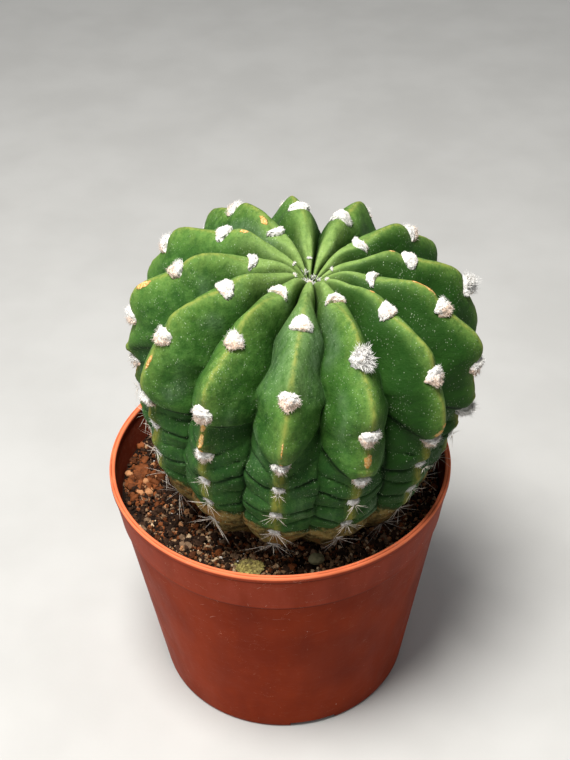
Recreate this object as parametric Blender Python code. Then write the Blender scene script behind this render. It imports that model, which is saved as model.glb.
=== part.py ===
"""Domino cactus in a 12 cm nursery pot. Metres, +Z up, pot standing on z = 0.

The stem is a thirteen-ribbed globe whose crest profile, furrow depth and areole spacing follow a few
rules; every areole is a wool cushion draped over its rib's crest. The plant leans a little.
"""

import math

import bmesh
import bpy
from mathutils import Matrix, Vector
from mathutils.bvhtree import BVHTree

MM = 0.001
GAP = 0.3 * MM

# Pot, all radii measured from its own axis.
POT_HEIGHT = 92.9 * MM
POT_BASE_RADIUS = 46.3 * MM
POT_RIM_RADIUS = 60.0 * MM
POT_WALL = 1.2 * MM
LIP_WIDTH = 2.0 * MM
LIP_HEIGHT = 2.2 * MM
LIP_ROUND = 0.5 * MM
COLLAR_HEIGHT = 16.5 * MM
COLLAR_STEP = 0.5 * MM
COLLAR_RAMP = 0.3 * MM
LIP_TAPER = 0.1 * MM
LIP_FILLET = 0.8 * MM
BASE_BEVEL_WIDTH = 0.6 * MM
BASE_BEVEL_HEIGHT = 1.2 * MM
FLOOR_FILLET = 1.0 * MM
FOOT_WIDTH = 2.6 * MM
FOOT_HEIGHT = 3.0 * MM
FLOOR_THICKNESS = 1.4 * MM
NOTCH_HEIGHT = 2.0 * MM
NOTCH_WIDTH = 17.0 * MM
NOTCH_TAPER = 1.0 * MM
NOTCH_REACH = 8.0 * MM
NOTCH_COUNT = 4
FIRST_NOTCH_ANGLE = math.radians(-77.5)
DRAIN_COUNT = 8
DRAIN_RADIUS = 2.7 * MM
DRAIN_CIRCLE = 35.0 * MM
DRAIN_SEGMENTS = 16
CUTTER_OVERLAP = 1.0 * MM
POT_SEGMENTS = 64

# Soil.
SOIL_LEVEL = 79.9 * MM
SOIL_RISE = 0.9 * MM
SOIL_RISE_START = 30.0 * MM
SOIL_RISE_WIDTH = 28.0 * MM
SOIL_LUMP = 0.35 * MM
SOIL_BEVEL = 1.2 * MM
SOCKET_GAP = 0.6 * MM
SOCKET_TOP = 120.0 * MM
SOCKET_TAIL = 8.0 * MM
SOCKET_STEP = 0.5 * MM
SOCKET_RINGS = 8

# Stem: its axis meets the soil surface at STEM_FOOT and leans along STEM_AXIS.
STEM_FOOT = Vector((2.1, -1.4, 80.0)) * MM
STEM_AXIS = Vector((0.0991, -0.0616, 0.9932)).normalized()
RIBS = 13
RIB_ANGLE = math.tau / RIBS
FRONT_RIB_ANGLE = math.radians(-98.0)
SEAM_RIB = 6
RIB_CROWDING = math.radians(3.2)

# Crest profile (radius, height over the soil), from the sunken crown to the foot of the taproot.
CREST_POINTS = [
    Vector(point) * MM
    for point in (
        (0.0, 86.5),
        (2.6, 91.2),
        (6.5, 94.8),
        (17.0, 97.8),
        (30.4, 98.4),
        (41.6, 94.3),
        (53.6, 83.5),
        (56.4, 67.0),
        (55.3, 57.0),
        (49.8, 31.0),
        (45.8, 20.8),
        (41.3, 13.2),
        (34.5, 7.4),
        (26.5, 3.2),
        (22.0, -1.5),
        (19.5, -6.0),
        (12.0, -9.6),
        (0.0, -10.5),
    )
]
CURVE_STEPS = 30

# Furrow depth against the distance down the crest from the crown.
FURROW_POINTS = [
    Vector(point) * MM
    for point in (
        (0.0, 0.0),
        (9.0, 3.8),
        (24.0, 9.0),
        (48.0, 12.4),
        (80.0, 12.0),
        (104.0, 8.2),
        (126.0, 5.0),
        (140.0, 3.2),
        (151.0, 0.0),
        (220.0, 0.0),
    )
]
RIB_EDGE = 2.3 * MM
FLANK_POWER = 1.2

# Areoles sit at steady distances down the crest; even and odd ribs take turns.
AREOLE_START = 10.5 * MM
AREOLE_STEP_UPPER = 12.5 * MM
AREOLE_STEP_LOWER = 6.1 * MM
STEP_CHANGE = 6
AREOLES_PER_RIB = 4
CREST_WAVE_UPPER = 1.2 * MM
CREST_WAVE_LOWER = 0.6 * MM
CREST_WAVE_PHASE = 0.6
RIB_SWELL_UPPER = 1.6 * MM
RIB_SWELL_LOWER = 0.5 * MM
SWELL_CHANGE = 1.0
WAVE_START = 8.0 * MM
WAVE_GROWTH = 14.0 * MM
WAVE_END = 128.0 * MM
WAVE_FADING = 18.0 * MM
CREST_WAVE_POWER = 1.5
SWELL_RADIUS = 20.0 * MM

# Wool cushions: half width, half length and thickness, which grow with the areole's order.
WOOL_LIFT = 0.75 * MM
WOOL_START = (1.2 * MM, 0.9 * MM, 0.8 * MM)
WOOL_GROWTH = (2.7 * MM, 2.0 * MM, 1.6 * MM)
WOOL_ORDERS = 1.3
WOOL_LOWER_SHARE = 0.82
WOOL_RINGS = ((1.0, 0.35), (0.6, 0.86))
WOOL_SPOKES = 8
DRAPE_REACH = 12.0 * MM
STEM_MIDDLE = 45.0 * MM

# How finely the stem is faceted.
RIB_STATIONS = (-1.0, -0.66, -0.3, -0.1, 0.1, 0.3, 0.66)
STEM_RINGS = 33
RING_CROWDING = 0.02

# Loose things on the soil: centre from the pot's axis, radii, turn.
LOOSE_THINGS = {
    "pebble_green": ((11.6, -40.8), (2.9, 2.3, 1.7), 0.4),
    "grit_lump_large": ((-50.4, 4.8), (3.6, 2.9, 2.2), 1.1),
    "grit_lump_small": ((-53.0, -2.4), (1.9, 1.6, 1.3), 2.3),
    "moss_patch": ((-10.2, -44.0), (5.0, 3.6, 1.5), 0.2),
}
LOOSE_GAP = 0.4 * MM
LOOSE_SUNK = 0.55
LOOSE_WOBBLE = 0.08


def clear_scene():
    for item in list(bpy.data.objects):
        bpy.data.objects.remove(item, do_unlink=True)


def make_material(name, colour, roughness):
    material = bpy.data.materials.new(name)
    material.use_nodes = True
    shader = material.node_tree.nodes["Principled BSDF"]
    shader.inputs["Base Color"].default_value = (*colour, 1.0)
    shader.inputs["Roughness"].default_value = roughness
    shader.inputs["Metallic"].default_value = 0.0
    material.diffuse_color = (*colour, 1.0)
    return material


def spline(points, steps):
    """Points on a smooth curve through the given ones, its ends mirrored about the axis."""
    before = Vector((-points[1][0], points[1][1]))
    after = Vector((-points[-2][0], points[-2][1]))
    knots = [before, *points, after]
    curve = []
    for index in range(1, len(knots) - 2):
        start, end = knots[index], knots[index + 1]
        span = (end - start).length
        leave = span * blend_slope(knots[index - 1], start, end)
        arrive = span * blend_slope(start, end, knots[index + 2])
        for step in range(steps):
            t = step / steps
            h1 = (1 + 2 * t) * (1 - t) ** 2
            h2 = t * (1 - t) ** 2
            h3 = t * t * (3 - 2 * t)
            h4 = t * t * (t - 1)
            curve.append(start * h1 + leave * h2 + end * h3 + arrive * h4)
    curve.append(points[-1].copy())
    return curve


def blend_slope(before, here, after):
    """The tangent at a knot, weighted towards the shorter of its two spans."""
    near = (here - before).length
    far = (after - here).length
    return ((after - here) * (near / far) + (here - before) * (far / near)) / (near + far)


def measure(curve):
    """The distance along the curve at each of its points."""
    lengths = [0.0]
    for start, end in zip(curve, curve[1:]):
        lengths.append(lengths[-1] + (end - start).length)
    return lengths


CREST = spline(CREST_POINTS, CURVE_STEPS)
CREST_LENGTHS = measure(CREST)


def smooth(value):
    value = min(max(value, 0.0), 1.0)
    return value * value * (3.0 - 2.0 * value)


def interpolate(x, points):
    """Smoothly eased value of a list of (x, y) points."""
    for start, end in zip(points, points[1:]):
        if x <= end[0]:
            share = (x - start[0]) / (end[0] - start[0])
            return start[1] + (end[1] - start[1]) * (0.5 * share + 0.5 * smooth(share))
    return points[-1][1]


def crest_at(distance):
    """Crest point and outward normal, as (radius, height), at a distance down from the crown."""
    distance = min(max(distance, 0.0), CREST_LENGTHS[-1])
    index = 1
    while CREST_LENGTHS[index] < distance and index < len(CREST) - 1:
        index += 1
    start, end = CREST[index - 1], CREST[index]
    share = (distance - CREST_LENGTHS[index - 1]) / (CREST_LENGTHS[index] - CREST_LENGTHS[index - 1])
    along = (end - start).normalized()
    return start.lerp(end, share), Vector((-along[1], along[0]))


def areole_distance(order):
    """Distance down the crest of areole number `order`, counted over even and odd ribs together."""
    upper = min(order, STEP_CHANGE)
    return AREOLE_START + AREOLE_STEP_UPPER * upper + AREOLE_STEP_LOWER * (order - upper)


def areole_order(distance):
    """The inverse of areole_distance."""
    upper = AREOLE_STEP_UPPER * STEP_CHANGE
    if distance - AREOLE_START <= upper:
        return (distance - AREOLE_START) / AREOLE_STEP_UPPER
    return STEP_CHANGE + (distance - AREOLE_START - upper) / AREOLE_STEP_LOWER


def rib_orders(rib):
    """The orders of a rib's node areoles. The ribs count is odd, so one rib is out of turn."""
    if rib == SEAM_RIB:
        return [1.5, 4, 6, 8]
    first = parity(rib)
    return [first + 2 * index for index in range(AREOLES_PER_RIB)]


def parity(rib):
    """Ribs run 0 to 12 from the front one; those past the seam count backwards from it."""
    signed = rib if rib <= SEAM_RIB else RIBS - rib
    return signed % 2


def wave_fade(distance):
    """Share of the ribs' waviness: none at the crown, none under the soil."""
    grown = smooth((distance - WAVE_START) / WAVE_GROWTH)
    return grown * (1 - smooth((distance - WAVE_END) / WAVE_FADING))


def upper_to_lower(upper, lower, distance):
    """A value that goes from one size to another where the areoles start to crowd."""
    share = smooth((areole_order(distance) - STEP_CHANGE + SWELL_CHANGE) / (2 * SWELL_CHANGE))
    return upper + (lower - upper) * share


def turn_wave(rib, distance):
    """+1 where the rib carries an areole and -1 midway between two."""
    order = areole_order(distance)
    return math.cos(math.pi * (order - parity(rib))) * wave_fade(distance)


def rib_swell(distance):
    """How far a furrow swings away from the rib that carries the nearest areole."""
    return upper_to_lower(RIB_SWELL_UPPER, RIB_SWELL_LOWER, distance)


def crest_wave(rib, distance):
    """Height of the crest's swelling, which is highest just above each areole."""
    turn = (areole_order(distance) - parity(rib)) / 2.0
    size = upper_to_lower(CREST_WAVE_UPPER, CREST_WAVE_LOWER, distance)
    return size * wave_fade(distance) * math.cos(math.tau * (turn - CREST_WAVE_PHASE))


def section(x, half_width):
    """Share of the furrow's depth at x, which is 0 on the crest and 1 in the furrow."""
    roundness = min(RIB_EDGE / max(half_width, 0.5 * MM), 0.9)
    share = math.sqrt(x * x + roundness * roundness) - roundness
    whole = math.sqrt(1 + roundness * roundness) - roundness
    return (share / whole) ** FLANK_POWER


def stem_frame():
    """Rotation that takes +Z to the leaning axis by the shortest turn, then the stem's foot."""
    turn = Vector((0, 0, 1)).rotation_difference(STEM_AXIS).to_matrix().to_4x4()
    return Matrix.Translation(STEM_FOOT) @ turn


STEM_FRAME = stem_frame()


def rib_angle(rib):
    """The ribs stand a little closer together at the front than at the back."""
    turn = rib * RIB_ANGLE
    return FRONT_RIB_ANGLE + turn - RIB_CROWDING * math.sin(turn)


def stem_point(rib, x, distance):
    """A point of the stem's surface: x runs -1 to 1 across the rib, from furrow to furrow."""
    crest, normal = crest_at(distance)
    half_width = max(crest[0], 1 * MM) * RIB_ANGLE / 2
    neighbour = rib + (1 if x > 0 else -1)
    swing = 0.5 * (turn_wave(rib, distance) - turn_wave(neighbour % RIBS, distance))
    sway = rib_swell(distance) * swing / max(crest[0], SWELL_RADIUS)
    spread = abs(rib_angle(neighbour) - rib_angle(rib)) / 2 + sway
    depth = interpolate(distance, FURROW_POINTS) * section(abs(x), half_width)
    rise = crest_wave(rib, distance) * (1 - abs(x)) ** CREST_WAVE_POWER
    place = crest + normal * (rise - depth)
    angle = rib_angle(rib) + x * spread
    radius = max(place[0], 0.0)
    local = Vector((radius * math.cos(angle), radius * math.sin(angle), place[1]))
    return STEM_FRAME @ local


def skin(rings, poles=(None, None)):
    """A closed skin over rings of equal length, ending in a point wherever a pole is given."""
    vertices = []
    faces = []
    count = len(rings[0])
    for ring in rings:
        vertices.extend(ring)
    for row in range(len(rings) - 1):
        for column in range(count):
            following = (column + 1) % count
            low, high = row * count, (row + 1) * count
            faces.append((low + column, low + following, high + following, high + column))
    for pole, row in zip(poles, (0, len(rings) - 1)):
        if pole is None:
            continue
        tip = len(vertices)
        vertices.append(pole)
        for column in range(count):
            following = (column + 1) % count
            faces.append((row * count + column, row * count + following, tip))
    return vertices, faces


def add_object(name, vertices, faces, material, sharp_angle=math.radians(40)):
    """Make one closed, triangulated, smooth-shaded object with its faces pointing out."""
    shape = bmesh.new()
    corners = [shape.verts.new(vertex) for vertex in vertices]
    for face in faces:
        shape.faces.new([corners[index] for index in face])
    bmesh.ops.recalc_face_normals(shape, faces=shape.faces)
    bmesh.ops.triangulate(shape, faces=shape.faces)
    mesh = bpy.data.meshes.new(name)
    shape.to_mesh(mesh)
    shape.free()
    mesh.materials.append(material)
    mesh.shade_smooth()
    mesh.set_sharp_from_angle(angle=sharp_angle)
    item = bpy.data.objects.new(name, mesh)
    bpy.context.scene.collection.objects.link(item)
    return item


def circle(radius, height, count=POT_SEGMENTS):
    ring = []
    for index in range(count):
        angle = math.tau * index / count
        ring.append(Vector((radius * math.cos(angle), radius * math.sin(angle), height)))
    return ring


def wall_radius(height):
    """Outer radius of the pot's straight taper."""
    share = height / POT_HEIGHT
    return POT_BASE_RADIUS + (POT_RIM_RADIUS - COLLAR_STEP - POT_BASE_RADIUS) * share


def pot_profile():
    """(radius, height) down the outside, under the floor, then up the inside from its middle."""
    collar = POT_HEIGHT - COLLAR_HEIGHT
    lip = POT_HEIGHT - LIP_HEIGHT
    floor_top = FOOT_HEIGHT + FLOOR_THICKNESS
    inner_collar = collar + POT_WALL
    rim_inside = POT_RIM_RADIUS - LIP_WIDTH
    outside = [
        (POT_RIM_RADIUS - LIP_ROUND, POT_HEIGHT),
        (POT_RIM_RADIUS, POT_HEIGHT - LIP_ROUND),
        (POT_RIM_RADIUS - LIP_TAPER, lip),
        (wall_radius(collar) + COLLAR_STEP, collar + COLLAR_RAMP),
        (wall_radius(collar), collar - COLLAR_RAMP),
        (wall_radius(BASE_BEVEL_HEIGHT), BASE_BEVEL_HEIGHT),
        (POT_BASE_RADIUS - BASE_BEVEL_WIDTH, 0.0),
        (POT_BASE_RADIUS - FOOT_WIDTH, 0.0),
        (POT_BASE_RADIUS - FOOT_WIDTH, FOOT_HEIGHT),
    ]
    inside = [
        (wall_radius(floor_top) - POT_WALL - FLOOR_FILLET, floor_top),
        (wall_radius(floor_top + FLOOR_FILLET) - POT_WALL, floor_top + FLOOR_FILLET),
        (wall_radius(collar) - POT_WALL, inner_collar - 2 * COLLAR_RAMP),
        (wall_radius(collar) + COLLAR_STEP - POT_WALL, inner_collar),
        (wall_radius(lip) + COLLAR_STEP - POT_WALL, lip - LIP_FILLET),
        (rim_inside, lip),
        (rim_inside, POT_HEIGHT - LIP_ROUND),
        (rim_inside + LIP_ROUND, POT_HEIGHT),
    ]
    return outside, inside


def build_pot(material):
    outside, inside = pot_profile()
    floor_top = FOOT_HEIGHT + FLOOR_THICKNESS
    under = [circle(radius, height) for radius, height in outside]
    over = [circle(radius, height) for radius, height in inside]
    vertices, faces = skin(under, (None, Vector((0, 0, FOOT_HEIGHT))))
    first_over = len(vertices)
    inner_vertices, inner_faces = skin(over[::-1], (None, Vector((0, 0, floor_top))))
    vertices.extend(inner_vertices)
    faces.extend(tuple(index + first_over for index in face) for face in inner_faces)
    for column in range(POT_SEGMENTS):
        following = (column + 1) % POT_SEGMENTS
        faces.append((column, following, first_over + following, first_over + column))
    pot = add_object("pot", vertices, faces, material, math.radians(50))
    cutters = notch_cutters() + drain_cutters()
    for cutter in cutters:
        cut = pot.modifiers.new(cutter.name, "BOOLEAN")
        cut.operation = "DIFFERENCE"
        cut.object = cutter
    return pot


def as_cutter(name, vertices, faces):
    cutter = add_object(name, vertices, faces, CUTTER_MATERIAL)
    cutter.hide_render = True
    cutter.display_type = "WIRE"
    return cutter


def notch_cutters():
    """Blocks that open the foot ring so that water drains from under the floor."""
    cutters = []
    inner = POT_BASE_RADIUS - NOTCH_REACH
    outer = POT_BASE_RADIUS + NOTCH_REACH
    for index in range(NOTCH_COUNT):
        angle = FIRST_NOTCH_ANGLE + index * math.tau / NOTCH_COUNT
        turn = Matrix.Rotation(angle, 4, "Z")
        rings = []
        for height, trim in ((-CUTTER_OVERLAP, 0.0), (NOTCH_HEIGHT, NOTCH_TAPER)):
            half = NOTCH_WIDTH / 2 - trim
            corners = ((inner, -half), (outer, -half), (outer, half), (inner, half))
            rings.append([turn @ Vector((x, y, height)) for x, y in corners])
        vertices, faces = skin(rings)
        faces.extend([(0, 1, 2, 3), (4, 5, 6, 7)])
        cutters.append(as_cutter(f"notch_cutter_{index}", vertices, faces))
    return cutters


def drain_cutters():
    cutters = []
    low = FOOT_HEIGHT - CUTTER_OVERLAP
    high = FOOT_HEIGHT + FLOOR_THICKNESS + CUTTER_OVERLAP
    for index in range(DRAIN_COUNT):
        angle = (index + 0.5) * math.tau / DRAIN_COUNT
        centre = Vector((DRAIN_CIRCLE * math.cos(angle), DRAIN_CIRCLE * math.sin(angle), 0))
        rings = []
        for height in (low, high):
            rings.append([point + centre for point in circle(DRAIN_RADIUS, height, DRAIN_SEGMENTS)])
        vertices, faces = skin(rings)
        faces.append(tuple(range(DRAIN_SEGMENTS)))
        faces.append(tuple(range(DRAIN_SEGMENTS, 2 * DRAIN_SEGMENTS)))
        cutters.append(as_cutter(f"drain_cutter_{index}", vertices, faces))
    return cutters


def soil_height(x, y):
    """The soil's surface: level, with a low, lumpy rise towards the stem."""
    radius = math.hypot(x, y)
    rise = SOIL_RISE * (1 - smooth((radius - SOIL_RISE_START) / SOIL_RISE_WIDTH))
    lumps = math.sin(x * 310 + 1.0) * math.cos(y * 270) + 0.6 * math.sin(x * 150 - y * 190)
    return SOIL_LEVEL + rise + SOIL_LUMP * lumps


def socket_ring(share):
    """A ring of the stem's socket: share 0 is its edge at the soil's surface, 1 its deepest ring."""
    ring = []
    bottom = CREST_LENGTHS[-1] - SOCKET_TAIL
    for index in range(POT_SEGMENTS):
        angle = math.tau * index / POT_SEGMENTS
        start = soil_edge_distance(angle)
        ring.append(socket_point(angle, start + (bottom - start) * share))
    return ring


def socket_point(angle, distance):
    """A point just outside the ribs' crests."""
    crest, normal = crest_at(distance)
    place = crest + normal * SOCKET_GAP
    return STEM_FRAME @ Vector((place[0] * math.cos(angle), place[0] * math.sin(angle), place[1]))


def soil_edge_distance(angle):
    """Distance down the crest at which the stem passes through the soil's surface."""
    distance = SOCKET_TOP
    while distance < CREST_LENGTHS[-1]:
        point = socket_point(angle, distance)
        if point.z <= soil_height(point.x, point.y):
            return distance
        distance += SOCKET_STEP
    return distance


def build_soil(material):
    collar = POT_HEIGHT - COLLAR_HEIGHT
    floor = FOOT_HEIGHT + FLOOR_THICKNESS + GAP
    low = wall_radius(floor + SOIL_BEVEL) - POT_WALL - GAP
    below_step = wall_radius(collar) - POT_WALL - GAP
    rings = [
        circle(low - SOIL_BEVEL, floor),
        circle(low, floor + SOIL_BEVEL),
        circle(below_step, collar),
        circle(below_step + COLLAR_STEP, collar + POT_WALL + 2 * COLLAR_RAMP),
    ]
    edge_radius = wall_radius(SOIL_LEVEL) + COLLAR_STEP - POT_WALL - GAP
    inner_edge = socket_ring(0.0)
    for share in (0.0, 0.33, 0.66):
        ring = []
        for outer, inner in zip(circle(edge_radius, SOIL_LEVEL), inner_edge):
            point = outer.lerp(inner, share)
            point.z = soil_height(point.x, point.y)
            ring.append(point)
        rings.append(ring)
    for row in range(SOCKET_RINGS):
        rings.append(socket_ring(row / (SOCKET_RINGS - 1)))
    bottom = CREST_POINTS[-1]
    socket_floor = STEM_FRAME @ Vector((0, 0, bottom[1] - SOCKET_GAP))
    vertices, faces = skin(rings, (Vector((0, 0, floor)), socket_floor))
    return add_object("soil", vertices, faces, material)


def build_stem(material):
    rings = []
    last = CREST_LENGTHS[-1]
    for row in range(1, STEM_RINGS):
        share = row / STEM_RINGS
        distance = last * (share + RING_CROWDING * math.sin(math.tau * share))
        ring = []
        for rib in range(RIBS):
            for x in RIB_STATIONS:
                ring.append(stem_point(rib, x, distance))
        rings.append(ring)
    crown = STEM_FRAME @ Vector((0, 0, CREST_POINTS[0][1]))
    root = STEM_FRAME @ Vector((0, 0, CREST_POINTS[-1][1]))
    vertices, faces = skin(rings, (crown, root))
    return add_object("cactus_stem", vertices, faces, material)


def areole_size(order):
    """Half width across the rib, half length along it, and thickness of the wool."""
    grown = 1 - math.exp(-order / WOOL_ORDERS)
    share = 1.0 if order < STEP_CHANGE else WOOL_LOWER_SHARE
    return [(start + growth * grown) * share for start, growth in zip(WOOL_START, WOOL_GROWTH)]


def build_areole(name, rib, order, stem_tree, material):
    """A wool cushion: a dome whose underside follows the crest that it sits on."""
    half_width, half_length, thickness = areole_size(order)
    distance = areole_distance(order)
    crest = stem_point(rib, 0.0, distance)
    below = stem_point(rib, 0.0, distance + 1 * MM)
    above = stem_point(rib, 0.0, distance - 1 * MM)
    along = (below - above).normalized()
    angle = rib_angle(rib)
    across = (STEM_FRAME.to_3x3() @ Vector((-math.sin(angle), math.cos(angle), 0))).normalized()
    out = across.cross(along).normalized()
    if out.dot(crest - STEM_FRAME @ Vector((0, 0, STEM_MIDDLE))) < 0:
        out.negate()

    def drape(x, y, height):
        start = crest + across * x + along * y + out * DRAPE_REACH
        hit = stem_tree.ray_cast(start, -out)[0]
        return hit + out * height

    under = []
    over = []
    for share, rise in WOOL_RINGS:
        low, high = [], []
        for index in range(WOOL_SPOKES):
            turn = math.tau * index / WOOL_SPOKES
            x, y = math.cos(turn) * half_width * share, math.sin(turn) * half_length * share
            low.append(drape(x, y, WOOL_LIFT))
            high.append(drape(x, y, WOOL_LIFT + thickness * rise))
        under.append(low)
        over.append(high)
    rings = [under[1], under[0], over[0], over[1]]
    poles = (drape(0, 0, WOOL_LIFT), drape(0, 0, WOOL_LIFT + thickness))
    vertices, faces = skin(rings, poles)
    return add_object(name, vertices, faces, material)


def build_areoles(stem, material):
    corners = [vertex.co.copy() for vertex in stem.data.vertices]
    triangles = [tuple(face.vertices) for face in stem.data.polygons]
    stem_tree = BVHTree.FromPolygons(corners, triangles)
    for rib in range(RIBS):
        for number, order in enumerate(rib_orders(rib), start=1):
            build_areole(f"areole_{rib:02d}_{number}", rib, order, stem_tree, material)


def build_loose_thing(name, centre, radii, turn, material):
    """A rounded, slightly uneven lump that rests on the soil."""
    shape = bmesh.new()
    bmesh.ops.create_icosphere(shape, subdivisions=2, radius=1.0)
    spin = Matrix.Rotation(turn, 3, "Z")
    x0, y0 = centre[0] * MM, centre[1] * MM
    vertices = []
    for vertex in shape.verts:
        unevenness = math.sin(5 * vertex.co.x + 3 * vertex.co.y + turn) * math.cos(4 * vertex.co.z)
        wobble = 1 + LOOSE_WOBBLE * unevenness
        flat = Vector((vertex.co.x * radii[0], vertex.co.y * radii[1], 0)) * wobble * MM
        place = spin @ flat
        x, y = x0 + place.x, y0 + place.y
        height = max(0.0, (vertex.co.z + LOOSE_SUNK) * radii[2] * MM)
        vertices.append(Vector((x, y, soil_height(x, y) + LOOSE_GAP + height)))
    faces = [tuple(vertex.index for vertex in face.verts) for face in shape.faces]
    shape.free()
    return add_object(name, vertices, faces, material)


def centre_on_footprint():
    """Move everything so that the middle of the whole object's bounding box is over the origin."""
    lows, highs = [], []
    for item in bpy.data.objects:
        if item.hide_render:
            continue
        xs = [vertex.co.x for vertex in item.data.vertices]
        ys = [vertex.co.y for vertex in item.data.vertices]
        lows.append((min(xs), min(ys)))
        highs.append((max(xs), max(ys)))
    middle_x = (min(low[0] for low in lows) + max(high[0] for high in highs)) / 2
    middle_y = (min(low[1] for low in lows) + max(high[1] for high in highs)) / 2
    for item in bpy.data.objects:
        item.location = (-middle_x, -middle_y, 0)


def main():
    terracotta = make_material("terracotta_plastic", (0.36, 0.085, 0.035), 0.45)
    soil_mix = make_material("potting_mix", (0.045, 0.026, 0.018), 0.95)
    green = make_material("cactus_skin", (0.045, 0.13, 0.035), 0.5)
    wool = make_material("areole_wool", (0.80, 0.74, 0.66), 0.95)
    stone = make_material("pebble_stone", (0.20, 0.21, 0.15), 0.8)
    grit = make_material("red_grit", (0.22, 0.075, 0.04), 0.9)
    moss = make_material("moss", (0.19, 0.19, 0.03), 0.95)
    build_pot(terracotta)
    build_soil(soil_mix)
    stem = build_stem(green)
    build_areoles(stem, wool)
    loose_materials = {"pebble_green": stone, "moss_patch": moss}
    for name, (centre, radii, turn) in LOOSE_THINGS.items():
        build_loose_thing(name, centre, radii, turn, loose_materials.get(name, grit))
    centre_on_footprint()


clear_scene()
CUTTER_MATERIAL = make_material("cutter", (0.5, 0.5, 0.5), 0.5)
main()
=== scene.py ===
"""Looks for the potted domino cactus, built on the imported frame.

The stem is rebuilt finely from the same few rules as the CAD stem, with pleats, notches and scars.
Wool, spines, soil granules and the loose things are modelled piece by piece. Lengths are in metres.
"""

import math

import bmesh
import bpy
import numpy as np
from mathutils import Matrix, Vector, noise
from mathutils.bvhtree import BVHTree


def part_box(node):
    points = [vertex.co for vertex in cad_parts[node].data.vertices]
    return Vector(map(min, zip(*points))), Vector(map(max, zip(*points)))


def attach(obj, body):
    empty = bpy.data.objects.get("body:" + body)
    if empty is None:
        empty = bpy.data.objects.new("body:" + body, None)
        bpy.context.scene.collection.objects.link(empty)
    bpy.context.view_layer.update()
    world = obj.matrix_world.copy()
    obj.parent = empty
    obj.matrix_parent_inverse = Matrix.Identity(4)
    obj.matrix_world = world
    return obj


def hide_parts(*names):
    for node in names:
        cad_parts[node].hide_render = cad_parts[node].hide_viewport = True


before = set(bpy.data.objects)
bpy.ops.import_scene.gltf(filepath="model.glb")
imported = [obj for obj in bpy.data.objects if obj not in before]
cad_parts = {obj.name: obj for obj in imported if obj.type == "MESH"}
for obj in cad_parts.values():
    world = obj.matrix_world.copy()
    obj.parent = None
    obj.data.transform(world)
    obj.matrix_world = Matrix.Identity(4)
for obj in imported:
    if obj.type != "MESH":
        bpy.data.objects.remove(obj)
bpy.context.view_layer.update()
MM = 0.001

# The pot stands where the CAD pot stands; the plant was laid out from the pot's axis.
POT_LOW, POT_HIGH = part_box("pot")
POT_AXIS = np.array([(POT_LOW.x + POT_HIGH.x) / 2, (POT_LOW.y + POT_HIGH.y) / 2, 0.0])
POT_HEIGHT = POT_HIGH.z
POT_BASE_RADIUS = 46.3 * MM
POT_WALL = 1.2 * MM
COLLAR_STEP = 0.5 * MM
COLLAR_HEIGHT = 16.5 * MM
LIP_HEIGHT = 2.2 * MM
LIP_WIDTH = 2.0 * MM
FOOT_HEIGHT = 3.0 * MM
FLOOR_THICKNESS = 1.4 * MM
NOTCH_HEIGHT = 2.0 * MM
NOTCH_WIDTH = 17.0 * MM
FIRST_NOTCH_ANGLE = math.radians(-77.5)
DRAIN_COUNT = 8
DRAIN_RADIUS = 2.7 * MM
DRAIN_CIRCLE = 35.0 * MM
POT_RIM_RADIUS = (POT_HIGH.x - POT_LOW.x) / 2
POT_COLUMNS = 192

SOIL_LEVEL = 79.9 * MM
SOIL_RISE = 0.9 * MM

STEM_FOOT = Vector((2.1, -1.4, 80.0)) * MM
STEM_AXIS = Vector((0.0991, -0.0616, 0.9932)).normalized()
RIBS = 13
RIB_ANGLE = math.tau / RIBS
FRONT_RIB_ANGLE = math.radians(-98.0)
SEAM_RIB = 6
RIB_CROWDING = math.radians(3.2)
CREST_POINTS = MM * np.array(
    [(0, 86.5), (2.6, 91.2), (6.5, 94.8), (17, 97.8), (30.4, 98.4), (41.6, 94.3), (53.6, 83.5),
     (56.4, 67), (55.3, 57), (49.8, 31), (45.8, 20.8), (41.3, 13.2), (34.5, 7.4), (26.5, 3.2),
     (22, -1.5), (19.5, -6), (12, -9.6), (0, -10.5)]
)
CURVE_STEPS = 30
FURROW_POINTS = MM * np.array(
    [(0, 0), (9, 3.8), (24, 9), (48, 12.4), (80, 12), (104, 8.2), (126, 5), (140, 3.2), (151, 0),
     (220, 0)]
)
RIB_EDGE = 1.6 * MM
FLANK_POWER = 1.12
AREOLE_START = 10.5 * MM
AREOLE_STEP_UPPER = 12.5 * MM
AREOLE_STEP_LOWER = 6.1 * MM
STEP_CHANGE = 6
LAST_ORDER = 14

# ---------------------------------------------------------------- the stem's shape


def smooth(value):
    value = np.clip(value, 0.0, 1.0)
    return value * value * (3.0 - 2.0 * value)


def ease(value, start, width):
    """0 up to start, then smoothly up to 1 over the width."""
    return smooth((value - start) / width)


def ramp(value, start, width):
    """The same, with start and width in millimetres."""
    return ease(value, start * MM, width * MM)


def bell(value, other=0.0):
    return np.exp(-(value**2 + other**2))


def blend_slope(before, here, after):
    near = np.linalg.norm(here - before)
    far = np.linalg.norm(after - here)
    return ((after - here) * (near / far) + (here - before) * (far / near)) / (near + far)


def spline(points, steps):
    mirror = np.array([-1.0, 1.0])
    knots = [points[1] * mirror, *points, points[-2] * mirror]
    curve = []
    for index in range(1, len(knots) - 2):
        start, end = knots[index], knots[index + 1]
        span = np.linalg.norm(end - start)
        leave = span * blend_slope(knots[index - 1], start, end)
        arrive = span * blend_slope(start, end, knots[index + 2])
        for step in range(steps):
            t = step / steps
            curve.append(
                start * (1 + 2 * t) * (1 - t) ** 2 + leave * t * (1 - t) ** 2
                + end * t * t * (3 - 2 * t) + arrive * t * t * (t - 1)
            )
    curve.append(points[-1])
    return np.array(curve)


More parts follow.
